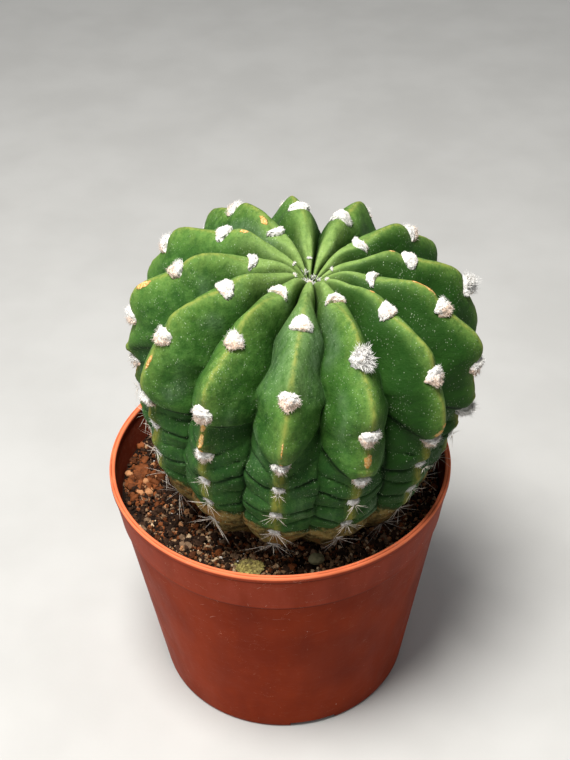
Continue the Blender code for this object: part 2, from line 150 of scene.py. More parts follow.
CREST = spline(CREST_POINTS, CURVE_STEPS)
CREST_LENGTHS = np.concatenate([[0], np.cumsum(np.linalg.norm(np.diff(CREST, axis=0), axis=1))])
CREST_SLOPE = np.gradient(CREST, CREST_LENGTHS, axis=0)


def crest_at(distance):
    """(radius, height) of the crest and its outward normal, at distances down from the crown."""
    place = [np.interp(distance, CREST_LENGTHS, CREST[:, axis]) for axis in (0, 1)]
    slope = [np.interp(distance, CREST_LENGTHS, CREST_SLOPE[:, axis]) for axis in (0, 1)]
    length = np.hypot(*slope)
    return place, (-slope[1] / length, slope[0] / length)


def furrow_depth(distance):
    index = np.clip(np.searchsorted(FURROW_POINTS[:, 0], distance) - 1, 0, len(FURROW_POINTS) - 2)
    start, end = FURROW_POINTS[index], FURROW_POINTS[index + 1]
    share = (distance - start[..., 0]) / (end[..., 0] - start[..., 0])
    return start[..., 1] + (end[..., 1] - start[..., 1]) * (0.5 * share + 0.5 * smooth(share))


def areole_distance(order):
    upper = np.minimum(order, STEP_CHANGE)
    return AREOLE_START + AREOLE_STEP_UPPER * upper + AREOLE_STEP_LOWER * (order - upper)


def areole_order(distance):
    upper = AREOLE_STEP_UPPER * STEP_CHANGE
    beyond = distance - AREOLE_START
    below = STEP_CHANGE + (beyond - upper) / AREOLE_STEP_LOWER
    return np.where(beyond <= upper, beyond / AREOLE_STEP_UPPER, below)


def parity(rib):
    rib = np.asarray(rib) % RIBS
    return np.where(rib <= SEAM_RIB, rib, RIBS - rib) % 2


def wave_fade(distance):
    return ramp(distance, 8, 14) * (1 - ramp(distance, 128, 18))


def upper_to_lower(upper, lower, distance):
    return upper + (lower - upper) * smooth((areole_order(distance) - STEP_CHANGE + 1) / 2)


def turn_wave(rib, distance):
    return np.cos(math.pi * (areole_order(distance) - parity(rib))) * wave_fade(distance)


def crest_wave(rib, distance):
    turn = (areole_order(distance) - parity(rib)) / 2.0
    size = upper_to_lower(1.2 * MM, 0.6 * MM, distance)
    return size * wave_fade(distance) * np.cos(math.tau * (turn - 0.6))


def section(x, half_width):
    roundness = np.minimum(RIB_EDGE / np.maximum(half_width, 0.5 * MM), 0.9)
    share = np.sqrt(x * x + roundness * roundness) - roundness
    whole = np.sqrt(1 + roundness * roundness) - roundness
    return (share / whole) ** FLANK_POWER


def rib_angle(rib):
    turn = np.asarray(rib) * RIB_ANGLE
    return FRONT_RIB_ANGLE + turn - RIB_CROWDING * np.sin(turn)


STEM_FRAME = (
    Matrix.Translation(Vector(POT_AXIS) + STEM_FOOT)
    @ Vector((0, 0, 1)).rotation_difference(STEM_AXIS).to_matrix().to_4x4()
)
STEM_MATRIX = np.array(STEM_FRAME)


def stem_surface(rib, x, distance, lift=0.0):
    """Points of the surface: x runs -1 to 1 across a rib, lift is along the crest's normal."""
    place, normal = crest_at(distance)
    half_width = np.maximum(place[0], 1 * MM) * RIB_ANGLE / 2
    neighbour = rib + np.where(x > 0, 1, -1)
    swing = 0.5 * (turn_wave(rib, distance) - turn_wave(neighbour, distance))
    sway = upper_to_lower(0.9 * MM, 0.5 * MM, distance) * swing / np.maximum(place[0], 20 * MM)
    spread = np.abs(rib_angle(neighbour) - rib_angle(rib)) / 2 + sway
    depth = furrow_depth(distance) * section(np.abs(x), half_width)
    offset = crest_wave(rib, distance) * (1 - np.abs(x)) ** 1.5 - depth + lift
    angle = rib_angle(rib) + x * spread
    radius = np.maximum(place[0] + normal[0] * offset, 0.0)
    height = place[1] + normal[1] * offset
    local = np.stack([radius * np.cos(angle), radius * np.sin(angle), height], axis=-1)
    return local @ STEM_MATRIX[:3, :3].T + STEM_MATRIX[:3, 3]


def soil_height(x, y):
    """The soil's surface, x and y from the pot's axis."""
    radius = np.hypot(x, y)
    rise = SOIL_RISE * (1 - ramp(radius, 30, 28))
    lumps = np.sin(x * 310 + 1.0) * np.cos(y * 270) + 0.6 * np.sin(x * 150 - y * 190)
    return SOIL_LEVEL + rise + 0.35 * MM * lumps


def wall_radius(height):
    return POT_BASE_RADIUS + (POT_RIM_RADIUS - COLLAR_STEP - POT_BASE_RADIUS) * height / POT_HEIGHT


# ---------------------------------------------------------------- mesh helpers


def fractal(points, scale, octaves=3, seed=0.0):
    """Smooth noise of about -1 to 1 at many points; scale is the size of its largest lumps."""
    shift = Vector((seed * 17.3, seed * 5.1, seed * 9.7))
    places = (Vector(point) / scale + shift for point in points)
    return np.array([noise.fractal(place, 0.9, 2.0, octaves) for place in places])


def add_object(name, data):
    item = bpy.data.objects.new(name, data)
    bpy.context.scene.collection.objects.link(item)
    return item


def add_piece(name, vertices, faces, material, attributes=None, slot=None, replaces=(), flat=False):
    """A mesh object that rides on the plant's one body."""
    mesh = bpy.data.meshes.new(name)
    mesh.from_pydata(np.asarray(vertices).tolist(), [], [list(face) for face in faces])
    mesh.materials.append(material)
    for key, values in (attributes or {}).items():
        layer = mesh.attributes.new(key, "FLOAT", "POINT")
        layer.data.foreach_set("value", np.asarray(values, np.float32))
    if not flat:
        mesh.shade_smooth()
    mesh.update()
    item = add_object(name, mesh)
    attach(item, "root")
    if replaces:
        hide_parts(*replaces)
    return item


class Batch:
    """Collects closed shapes that become one mesh, with one value of each attribute per vertex."""

    def __init__(self):
        self.vertices, self.faces, self.attributes, self.count = [], [], {}, 0

    def add(self, vertices, faces, **attributes):
        self.vertices.append(np.asarray(vertices, float))
        self.faces.extend([[index + self.count for index in face] for face in faces])
        for key, values in attributes.items():
            values = np.broadcast_to(np.asarray(values, float), (len(vertices),))
            self.attributes.setdefault(key, []).append(values)
        self.count += len(vertices)

    def piece(self, name, material, **options):
        attributes = {key: np.concatenate(values) for key, values in self.attributes.items()}
        return add_piece(
            name, np.concatenate(self.vertices), self.faces, material, attributes, **options
        )


def ball(subdivisions):
    shape = bmesh.new()
    bmesh.ops.create_icosphere(shape, subdivisions=subdivisions, radius=1.0)
    vertices = np.array([vertex.co for vertex in shape.verts])
    faces = [[vertex.index for vertex in face.verts] for face in shape.faces]
    shape.free()
    return vertices, faces


def repeated(faces, size, count):
    """The faces of one shape of so many vertices, for each of count copies in a row."""
    return [[index + copy * size for index in face] for copy in range(count) for face in faces]


def unit(vectors):
    return vectors / np.maximum(np.linalg.norm(vectors, axis=-1, keepdims=True), 1e-12)


def add_strands(batch, roots, directions, lengths, radii, bend, segments, power=0.7, **masks):
    """Tapered three-sided hairs or spines. bend is where each tip ends up beside its line."""
    count = len(roots)
    directions = unit(directions)
    upright = np.abs(directions[:, 2:]) >= 0.9
    aside = unit(np.cross(directions, np.where(upright, [[1.0, 0, 0]], [[0, 0, 1.0]])))
    other = np.cross(directions, aside)
    turns = (np.arange(3) * math.tau / 3)[None, :, None]
    circle = aside[:, None, :] * np.cos(turns) + other[:, None, :] * np.sin(turns)
    rings = []
    for step in range(segments):
        t = step / segments
        middle = roots + directions * (lengths * t)[:, None] + bend * (t * t)
        rings.append(middle[:, None, :] + circle * (radii * (1 - t) ** power)[:, None, None])
    rings.append((roots + directions * lengths[:, None] + bend)[:, None, :])
    vertices = np.concatenate(rings, axis=1)
    tip, last = 3 * segments, 3 * segments - 3
    faces = [[2, 1, 0]]
    for low in range(0, last, 3):
        for side in range(3):
            turn = (side + 1) % 3
            faces.append([low + side, low + turn, low + 3 + turn, low + 3 + side])
    faces.extend([[last + side, last + (side + 1) % 3, tip] for side in range(3)])
    along = np.concatenate([np.repeat(np.arange(segments) / segments, 3), [1.0]])
    masks = {key: np.broadcast_to(value, (count,)) for key, value in masks.items()}
    spread = {key: np.repeat(value, tip + 1) for key, value in masks.items()}
    everything = repeated(faces, tip + 1, count)
    batch.add(vertices.reshape(-1, 3), everything, along=np.tile(along, count), **spread)


# ---------------------------------------------------------------- material helpers


class Nodes:
    """Short ways to build a node tree; colour is what has been painted so far."""

    def __init__(self, name):
        self.material = bpy.data.materials.new(name)
        self.material.use_nodes = True
        self.tree = self.material.node_tree
        self.shader = self.tree.nodes["Principled BSDF"]
        self.place = self.new("ShaderNodeTexCoord").outputs["Object"]
        self.colour = None

    def new(self, kind, **settings):
        node = self.tree.nodes.new(kind)
        for key, value in settings.items():
            setattr(node, key, value)
        return node

    def set(self, socket, value):
        if isinstance(value, bpy.types.NodeSocket):
            self.tree.links.new(value, socket)
        elif isinstance(value, tuple) and len(value) == 3 and socket.type == "RGBA":
            socket.default_value = (*value, 1.0)
        else:
            socket.default_value = value

    def math(self, operation, *values, clamp=False):
        node = self.new("ShaderNodeMath", operation=operation, use_clamp=clamp)
        for socket, value in zip(node.inputs, values):
            self.set(socket, value)
        return node.outputs[0]

    def multiply(self, *values):
        result = values[0]
        for value in values[1:]:
            result = self.math("MULTIPLY", result, value)
        return result

    def range(self, value, low, high, to_low=0.0, to_high=1.0):
        node = self.new("ShaderNodeMapRange", interpolation_type="SMOOTHSTEP")
        for socket, item in zip(node.inputs, (value, low, high, to_low, to_high)):
            self.set(socket, item)
        return node.outputs[0]

    def fall(self, value, low, high):
        """1 up to low, 0 from high on."""
        return self.range(value, low, high, 1.0, 0.0)

    def line(self, value, middle, inner, outer):
        """1 where a value lies within inner of middle, 0 from outer on."""
        away = self.math("ABSOLUTE", self.math("SUBTRACT", value, middle))
        return self.fall(away, inner, outer)

    def torn(self, mask, texture, size):
        """A mask whose edge a texture breaks up."""
        return self.math("ADD", mask, self.math("SUBTRACT", self.multiply(texture, size), size / 2))

    def noise(self, size, detail=3.0, roughness=0.55, place=None):
        node = self.new("ShaderNodeTexNoise")
        self.set(node.inputs["Vector"], place or self.place)
        node.inputs["Scale"].default_value = 1.0 / size
        node.inputs["Detail"].default_value = detail
        node.inputs["Roughness"].default_value = roughness
        return node.outputs["Fac"]

    def cells(self, size, place=None, feature="F1"):
        node = self.new("ShaderNodeTexVoronoi", feature=feature)
        self.set(node.inputs["Vector"], place or self.place)
        node.inputs["Scale"].default_value = 1.0 / size
        return node.outputs["Distance"]

    def stretch(self, scale, rotation=(0.0, 0.0, 0.0)):
        node = self.new("ShaderNodeMapping")
        self.set(node.inputs["Vector"], self.place)
        node.inputs["Scale"].default_value = scale
        node.inputs["Rotation"].default_value = rotation
        return node.outputs[0]

    def attribute(self, name):
        return self.new("ShaderNodeAttribute", attribute_name=name).outputs["Fac"]

    def mix(self, share, first, second):
        node = self.new("ShaderNodeMix", data_type="RGBA")
        self.set(node.inputs["Factor"], share)
        self.set(node.inputs[6], first)
        self.set(node.inputs[7], second)
        return node.outputs[2]

    def layer(self, share, colour):
        """Paints a colour over what is there so far."""
        self.colour = self.mix(share, self.colour, colour)

    def bump(self, height, distance, strength=1.0, before=None):
        node = self.new("ShaderNodeBump")
        node.inputs["Strength"].default_value = strength
        node.inputs["Distance"].default_value = distance
        self.set(node.inputs["Height"], height)
        if before is not None:
            self.set(node.inputs["Normal"], before)
        return node.outputs[0]

    def finish(self, roughness, normal, **sockets):
        self.set(self.shader.inputs["Base Color"], self.colour)
        self.set(self.shader.inputs["Roughness"], roughness)
        self.set(self.shader.inputs["Normal"], normal)
        for name, value in sockets.items():
            self.shader.inputs[name.replace("_", " ")].default_value = value
        return self.material


# ---------------------------------------------------------------- materials

# Of these colours, flank, furrow, crease and cork edge are painted shade.
SKIN = {
    "deep": (0.021, 0.070, 0.011), "green": (0.042, 0.120, 0.018), "light": (0.075, 0.170, 0.034),
    "dark": (0.010, 0.040, 0.008), "shoulder": (0.135, 0.225, 0.045), "crown": (0.23, 0.33, 0.10),
    "old": (0.0135, 0.050, 0.012), "bloom": (0.15, 0.245, 0.125), "pale grit": (0.16, 0.26, 0.105),
    "dark grit": (0.008, 0.030, 0.007), "olive": (0.215, 0.235, 0.05),
    "ochre": (0.225, 0.205, 0.034), "flank": (0.012, 0.046, 0.006), "furrow": (0.007, 0.020, 0.006),
    "crease": (0.003, 0.010, 0.003), "cork edge shadow": (0.020, 0.022, 0.005), "speck": (0.46, 0.54, 0.38),
}
CORK = {
    "dark": (0.046, 0.031, 0.009), "brown": (0.190, 0.135, 0.042), "red": (0.165, 0.082, 0.022),
    "grey": (0.27, 0.25, 0.12), "orange crust": (0.52, 0.24, 0.05),
    "pale crust": (0.66, 0.46, 0.20),
}
WOOL = {
    "beige pits": (0.56, 0.37, 0.25), "beige": (0.88, 0.72, 0.60), "white pits": (0.52, 0.48, 0.44),
    "white": (0.87, 0.85, 0.82), "holes": (0.22, 0.12, 0.07), "hair": (0.91, 0.89, 0.86),
}
# In CLAY the ledge, under lip and inner colours are painted shade, the lip colour a painted
# highlight and the collar colour a painted sheen.
CLAY = {
    "deep": (0.176, 0.0185, 0.0035), "red": (0.228, 0.027, 0.0056), "flow": (0.27, 0.038, 0.011),
    "collar": (0.29, 0.052, 0.029), "ledge shadow": (0.050, 0.008, 0.003),
    "under lip shadow": (0.075, 0.011, 0.004),
    "lip": (0.74, 0.185, 0.080), "groove": (0.34, 0.065, 0.024), "dust": (0.36, 0.20, 0.13),
    "scuff": (0.50, 0.26, 0.17), "scratch": (0.55, 0.36, 0.28), "spot": (0.62, 0.55, 0.46),
    "inner shade": (0.034, 0.013, 0.007), "inner dust in shade": (0.13, 0.068, 0.042),
    "stain": (0.105, 0.014, 0.006),
}


def skin_material():
    n = Nodes("cactus_skin")
    crest, shoulder, crown = n.attribute("crest"), n.attribute("shoulder"), n.attribute("crown")
    low, bloom, flank = n.attribute("low"), n.attribute("bloom"), n.attribute("flank")
    furrow, crease = n.attribute("furrow"), n.attribute("crease")
    cork, scar = n.attribute("cork"), n.attribute("scar")
    mottle = n.noise(3.2 * MM, 5.0, 0.65)
    fine = n.noise(0.7 * MM, 4.0, 0.7)
    grit = n.noise(0.45 * MM, 4.0, 0.75)
    streaks = n.noise(1.6 * MM, 4.0, 0.65, n.stretch((1.0, 1.0, 0.22)))
    n.colour = n.mix(n.range(n.noise(14 * MM), 0.35, 0.68), SKIN["deep"], SKIN["green"])
    n.layer(n.multiply(n.range(mottle, 0.42, 0.7), 0.75), SKIN["light"])
    n.layer(n.range(mottle, 0.28, 0.46, 0.45, 0.0), SKIN["dark"])
    n.layer(n.multiply(shoulder, n.range(streaks, 0.3, 0.7, 0.2, 0.85)), SKIN["shoulder"])
    n.layer(n.multiply(crown, n.range(mottle, 0.3, 0.7, 0.45, 0.95)), SKIN["crown"])
    n.layer(n.multiply(low, n.range(streaks, 0.3, 0.7, 0.8, 0.5)), SKIN["old"])
    n.layer(n.multiply(bloom, n.range(streaks, 0.3, 0.7, 0.2, 0.7)), SKIN["bloom"])
    n.layer(n.range(grit, 0.55, 0.80, 0.0, 0.6), SKIN["pale grit"])
    n.layer(n.range(grit, 0.25, 0.47, 0.65, 0.0), SKIN["dark grit"])
    strip = n.multiply(crest, n.range(streaks, 0.34, 0.60, 0.22, 0.85))
    n.layer(strip, n.mix(low, SKIN["olive"], SKIN["ochre"]))
    # Painted shade: the flanks darken towards the furrows, most on the shaded ribs 2 to 5.
    n.layer(n.multiply(flank, 0.87), SKIN["flank"])
    # Painted shade along the furrows and in the crown's middle.
    n.layer(n.multiply(n.range(furrow, 0.2, 1.0), 0.85), SKIN["furrow"])
    # Painted shade in the creases of the pleats.
    n.layer(n.multiply(crease, 0.96), SKIN["crease"])
    warm = n.mix(n.range(mottle, 0.38, 0.62), CORK["dark"], CORK["brown"])
    warm = n.mix(n.range(n.noise(5 * MM, 4.0), 0.52, 0.66), warm, CORK["red"])
    warm = n.mix(n.range(fine, 0.50, 0.75, 0.0, 0.6), warm, CORK["grey"])
    ragged = n.torn(cork, mottle, 1.3)
    n.layer(n.range(ragged, 0.30, 0.72), warm)
    # A painted shadow line under the green skin's ragged edge, along the top of the cork.
    n.layer(n.multiply(n.line(ragged, 0.40, 0.0, 0.16), 0.65), SKIN["cork edge shadow"])
    scarred = n.range(n.torn(scar, n.noise(1.1 * MM, 4.0), 0.8), 0.45, 0.6)
    n.layer(scarred, n.mix(n.range(fine, 0.4, 0.6), CORK["orange crust"], CORK["pale crust"]))
    dots = n.fall(n.cells(1.5 * MM, n.stretch((1.0, 1.6, 0.7), (0.2, 0.9, 0.4))), 0.05, 0.13)
    dots = n.multiply(dots, n.range(n.noise(3 * MM), 0.42, 0.54))
    small = n.fall(n.cells(0.75 * MM, n.stretch((1.4, 1.0, 0.7), (0.3, 0.5, 0.1))), 0.12, 0.24)
    patches = n.noise(5 * MM, place=n.stretch((1.0, 1.0, 1.0), (0.7, 0.2, 0.4)))
    small = n.multiply(small, n.range(patches, 0.46, 0.58))
    specks = n.math("MAXIMUM", dots, n.multiply(small, 0.6))
    n.layer(n.multiply(specks, n.range(mottle, 0.35, 0.6, 0.25, 0.9)), SKIN["speck"])
    dull = n.multiply(n.math("MAXIMUM", cork, scarred), 0.25)
    rough = n.math("ADD", n.range(mottle, 0.3, 0.7, 0.52, 0.68), dull, clamp=True)
    normal = n.bump(n.cells(0.42 * MM), 0.05 * MM, 0.5)
    normal = n.bump(fine, 0.10 * MM, 0.5, normal)
    normal = n.bump(mottle, 0.45 * MM, 0.6, normal)
    normal = n.bump(n.multiply(ragged, n.noise(1.3 * MM, 5.0, 0.7)), 0.5 * MM, 0.7, normal)
    normal = n.bump(n.multiply(scarred, n.noise(0.8 * MM)), 0.6 * MM, 0.9, normal)
    return n.finish(rough, normal, Specular_IOR_Level=0.07)


def wool_material():
    n = Nodes("areole_wool")
    low, hair = n.attribute("low"), n.attribute("hair")
    fleece = n.noise(0.55 * MM, 5.0, 0.75)
    clumps = n.noise(1.7 * MM)
    beige = n.mix(n.range(fleece, 0.35, 0.65), WOOL["beige pits"], WOOL["beige"])
    white = n.mix(n.range(fleece, 0.3, 0.6), WOOL["white pits"], WOOL["white"])
    n.colour = n.mix(n.range(n.torn(low, clumps, 1.1), 0.24, 0.64), white, beige)
    pits = n.multiply(n.fall(fleece, 0.30, 0.40), n.range(low, 0.5, 0.9))
    n.layer(n.multiply(pits, 0.6), WOOL["holes"])
    n.layer(n.multiply(hair, n.range(low, 0.25, 0.8, 0.95, 0.35)), WOOL["hair"])
    normal = n.bump(clumps, 0.6 * MM, 0.6, n.bump(fleece, 0.45 * MM, 0.9))
    rough = n.range(fleece, 0.2, 0.8, 0.85, 1.0)
    return n.finish(rough, normal, Specular_IOR_Level=0.15, Sheen_Weight=0.3)


def spine_material():
    n = Nodes("spine_ivory")
    grain = n.noise(0.6 * MM)
    n.colour = n.mix(n.range(grain, 0.3, 0.7), (0.62, 0.52, 0.42), (0.82, 0.76, 0.68))
    n.layer(n.range(n.attribute("along"), 0.7, 1.0), (0.55, 0.40, 0.27))
    return n.finish(n.range(grain, 0.3, 0.7, 0.45, 0.65), n.bump(grain, 0.04 * MM, 0.5))


def pot_material():
    n = Nodes("terracotta_plastic")
    split = n.new("ShaderNodeSeparateXYZ")
    n.set(split.inputs[0], n.place)
    height = split.outputs["Z"]
    across = n.math("SUBTRACT", split.outputs["X"], float(POT_AXIS[0]))
    deep = n.math("SUBTRACT", split.outputs["Y"], float(POT_AXIS[1]))
    radius = n.math("SQRT", n.math("ADD", n.multiply(across, across), n.multiply(deep, deep)))
    taper = (POT_RIM_RADIUS - COLLAR_STEP - POT_BASE_RADIUS) / POT_HEIGHT
    wall = n.math("MULTIPLY_ADD", height, taper, POT_BASE_RADIUS - POT_WALL / 2)
    inside = n.fall(n.math("SUBTRACT", radius, wall), -0.25 * MM, 0.05 * MM)
    collar, lip = POT_HEIGHT - COLLAR_HEIGHT, POT_HEIGHT - LIP_HEIGHT
    flow = n.noise(7 * MM, 4.0, 0.6, n.stretch((1.0, 1.0, 0.25)))
    n.colour = n.mix(n.range(n.noise(22 * MM), 0.3, 0.7), CLAY["deep"], CLAY["red"])
    n.layer(n.multiply(n.range(flow, 0.5, 0.75), 0.3), CLAY["flow"])
    # The collar band above the step is painted lighter and pinker, a painted sheen, varied by the
    # flow marks.
    band = n.range(height, collar - 0.2 * MM, collar + 0.2 * MM)
    n.layer(n.multiply(band, n.range(flow, 0.3, 0.7, 0.2, 0.7)), CLAY["collar"])
    # A painted shadow line under the collar's step.
    n.layer(n.multiply(n.line(height, collar - 0.30 * MM, 0.2 * MM, 0.8 * MM), 0.95), CLAY["ledge shadow"])
    # A painted shadow line under the lip.
    n.layer(n.multiply(n.line(height, lip - 0.15 * MM, 0.2 * MM, 0.7 * MM), 0.7), CLAY["under lip shadow"])
    # The lip's top is a painted highlight, dimmer along a groove line near its outer edge.
    groove = n.line(radius, POT_RIM_RADIUS - 0.75 * MM, 0.1 * MM, 0.35 * MM)
    groove = n.multiply(groove, n.range(flow, 0.3, 0.6, 0.3, 0.9))
    top = n.range(height, POT_HEIGHT - 1.15 * MM, POT_HEIGHT - 0.55 * MM)
    n.layer(n.multiply(top, 0.92), n.mix(groove, CLAY["lip"], CLAY["groove"]))
    dust = n.range(n.noise(3.5 * MM, 6.0, 0.75), 0.56, 0.74)
    n.layer(n.multiply(dust, 0.13), CLAY["dust"])
    marks = n.noise(1.1 * MM, 5.0, 0.8, n.stretch((1.0, 1.0, 1.6), (0.4, 0.7, 0.0)))
    where = n.noise(15 * MM, place=n.stretch((1.0, 1.0, 1.3), (0.9, 0.1, 0.5)))
    scuff = n.multiply(n.range(marks, 0.60, 0.68), n.range(where, 0.54, 0.66))
    n.layer(n.multiply(scuff, 0.6), CLAY["scuff"])
    edges = n.cells(7 * MM, n.stretch((0.7, 0.7, 2.6), (0.75, 0.4, 0.3)), "DISTANCE_TO_EDGE")
    where = n.noise(8 * MM, 2.0, place=n.stretch((1.0, 1.0, 6.0), (0.5, 0.35, 0.2)))
    scratch = n.multiply(n.fall(edges, 0.0, 0.006), n.range(where, 0.55, 0.62))
    scratch = n.multiply(scratch, n.range(height, 45 * MM, 80 * MM, 0.3, 1.0))
    n.layer(n.multiply(scratch, 0.7), CLAY["scratch"])
    spots = n.fall(n.cells(4.5 * MM), 0.03, 0.06)
    spots = n.multiply(spots, n.range(n.noise(11 * MM, 2.0), 0.55, 0.6))
    n.layer(n.multiply(spots, 0.7), CLAY["spot"])
    # Inside the pot below the lip: painted shade, mottled with patches of dust.
    dust_over_shade = n.range(n.noise(2.2 * MM, 5.0, 0.7), 0.45, 0.75)
    below = n.multiply(inside, n.fall(height, lip - 1.5 * MM, lip))
    n.layer(n.multiply(below, 0.85), n.mix(dust_over_shade, CLAY["inner shade"], CLAY["inner dust in shade"]))
    stain = n.noise(30 * MM, 2.0, place=n.stretch((1.0, 1.0, 0.5), (0.2, 0.1, 0.6)))
    n.layer(n.range(stain, 0.52, 0.72, 0.0, 0.35), CLAY["stain"])
    dull = n.multiply(n.math("MAXIMUM", dust, below), 0.22)
    rough = n.math("ADD", n.range(flow, 0.3, 0.7, 0.42, 0.55), dull, clamp=True)
    normal = n.bump(n.noise(0.9 * MM, 4.0, 0.7), 0.05 * MM, 0.45)
    normal = n.bump(n.noise(5 * MM, 2.0), 0.25 * MM, 0.5, normal)
    normal = n.bump(scratch, -0.05 * MM, 0.6, normal)
    return n.finish(rough, normal, Specular_IOR_Level=0.03)


def grain_material(name, dark, light, odd, odd_share, rough):
    """Granules: each has its own tint, from an attribute that is random from grain to grain."""
    n = Nodes(name)
    tint = n.attribute("tint")
    speck = n.noise(0.45 * MM, 4.0, 0.7)
    patch = n.noise(1.8 * MM)
    n.colour = n.mix(tint, dark, light)
    n.layer(n.range(tint, 1.0 - odd_share, 1.02 - odd_share), odd)
    n.layer(n.range(speck, 0.45, 0.75), n.mix(0.5, n.colour, light))
    n.layer(n.multiply(n.range(patch, 0.5, 0.75), 0.5), dark)
    normal = n.bump(patch, 0.4 * MM, 0.5, n.bump(speck, 0.18 * MM, 0.8))
    rough = n.range(speck, 0.3, 0.7, rough - 0.15, rough + 0.1)
    return n.finish(rough, normal, Specular_IOR_Level=0.12)


def moss_material():
    n = Nodes("moss_green")
    tint = n.attribute("tint")
    patch = n.noise(1.6 * MM, 4.0)
    n.colour = n.mix(n.range(patch, 0.35, 0.65), (0.120, 0.085, 0.035), (0.260, 0.215, 0.065))
    n.layer(n.multiply(tint, 0.7), (0.34, 0.30, 0.060))
    n.layer(n.multiply(n.range(n.attribute("along"), 0.3, 1.0), tint), (0.70, 0.58, 0.20))
    return n.finish(n.range(patch, 0.3, 0.7, 0.8, 1.0), n.bump(patch, 0.3 * MM, 0.7))


# ---------------------------------------------------------------- pot


def beside(radius, height, *offsets):
    """Points of an outline, given in millimetres from one (radius, height)."""
    return [(radius + aside * MM, height + above * MM) for aside, above in offsets]


def wall(heights, step=0.0, thickness=0.0):
    return [(wall_radius(height) + step - thickness, height) for height in heights]


def pot_outline():
    """(radius, height) from under the floor, out over the wall and its lip, and in to the floor."""
    collar, lip = POT_HEIGHT - COLLAR_HEIGHT, POT_HEIGHT - LIP_HEIGHT
    floor_top = FOOT_HEIGHT + FLOOR_THICKNESS
    rim, inner_rim = POT_RIM_RADIUS, POT_RIM_RADIUS - LIP_WIDTH
    foot, step = POT_BASE_RADIUS, wall_radius(collar)
    return [
        *beside(0.0, FOOT_HEIGHT, (0, 0), (10, 0), (25, 0), (40, 0)),
        *beside(foot, FOOT_HEIGHT, (-2.9, 0), (-2.6, -0.3)),
        *beside(foot, 0.0, (-2.6, 0.3), (-2.3, 0), (-0.9, 0), (-0.45, 0.12), (-0.1, 0.5)),
        *wall([1.2 * MM]),
        *wall(np.linspace(2.5 * MM, collar - 1.5 * MM, 26)),
        *beside(step, collar, (-0.02, -0.45), (0.02, -0.22), (0.3, -0.12)),
        *beside(step, collar, (0.52, 0.05), (0.62, 0.35), (0.60, 0.9)),
        *wall(np.linspace(collar + 2.5 * MM, lip - 1.0 * MM, 8), COLLAR_STEP),
        *beside(rim, lip, (-0.45, -0.35), (-0.42, -0.08), (-0.1, 0.02), (0, 0.3)),
        *beside(rim, POT_HEIGHT, (0, -0.75), (-0.06, -0.4), (-0.22, -0.15)),
        *beside(rim, POT_HEIGHT, (-0.5, 0), (-1.0, 0.01)),
        *beside(inner_rim, POT_HEIGHT, (0.45, 0), (0.18, -0.15), (0.03, -0.45), (0, -0.9)),
        (inner_rim - 0.02 * MM, lip),
        (wall_radius(lip) + COLLAR_STEP - POT_WALL, lip - 0.8 * MM),
        *wall(np.linspace(lip - 2.5 * MM, collar + POT_WALL + 0.6 * MM, 6), COLLAR_STEP, POT_WALL),
        (step + COLLAR_STEP - POT_WALL - 0.1 * MM, collar + POT_WALL),
        (step - POT_WALL, collar + 0.6 * MM),
        *wall(np.linspace(collar - 2 * MM, floor_top + 1 * MM, 14), thickness=POT_WALL),
        *beside(wall_radius(floor_top) - POT_WALL, floor_top, (-0.4, 0.3), (-1.0, 0)),
        *beside(0.0, floor_top, (25, 0), (0, 0)),
    ]


def plain_solid(vertices, faces):
    mesh = bpy.data.meshes.new("cutter")
    mesh.from_pydata([tuple(vertex) for vertex in vertices], [], faces)
    shape = bmesh.new()
    shape.from_mesh(mesh)
    bmesh.ops.recalc_face_normals(shape, faces=shape.faces)
    shape.to_mesh(mesh)
    shape.free()
    return add_object("cutter", mesh)


def prism(ring, low, high):
    """A straight-sided block over a ring of (x, y) points."""
    count = len(ring)
    vertices = [(x, y, low) for x, y in ring] + [(x, y, high) for x, y in ring]
    faces = [tuple(range(count)), tuple(range(count, 2 * count))]
    faces += [(i, (i + 1) % count, count + (i + 1) % count, count + i) for i in range(count)]
    return plain_solid(vertices, faces)


def pot_cutters():
    """The drain holes through the floor and the four notches in the foot ring."""
    cutters = []
    angles = np.arange(24) * math.tau / 24
    for index in range(DRAIN_COUNT):
        turn = (index + 0.5) * math.tau / DRAIN_COUNT
        x = POT_AXIS[0] + DRAIN_CIRCLE * math.cos(turn)
        y = POT_AXIS[1] + DRAIN_CIRCLE * math.sin(turn)
        ring = [(x + DRAIN_RADIUS * math.cos(a), y + DRAIN_RADIUS * math.sin(a)) for a in angles]
        cutters.append(prism(ring, FOOT_HEIGHT - 1 * MM, FOOT_HEIGHT + FLOOR_THICKNESS + 1 * MM))
    inner, outer, half = POT_BASE_RADIUS - 8 * MM, POT_BASE_RADIUS + 8 * MM, NOTCH_WIDTH / 2
    for index in range(4):
        turn = FIRST_NOTCH_ANGLE + index * math.tau / 4
        ring = []
        for u, v in ((inner, -half), (outer, -half), (outer, half), (inner, half)):
            x = POT_AXIS[0] + u * math.cos(turn) - v * math.sin(turn)
            ring.append((x, POT_AXIS[1] + u * math.sin(turn) + v * math.cos(turn)))
        cutters.append(prism(ring, -1 * MM, NOTCH_HEIGHT))
    return cutters


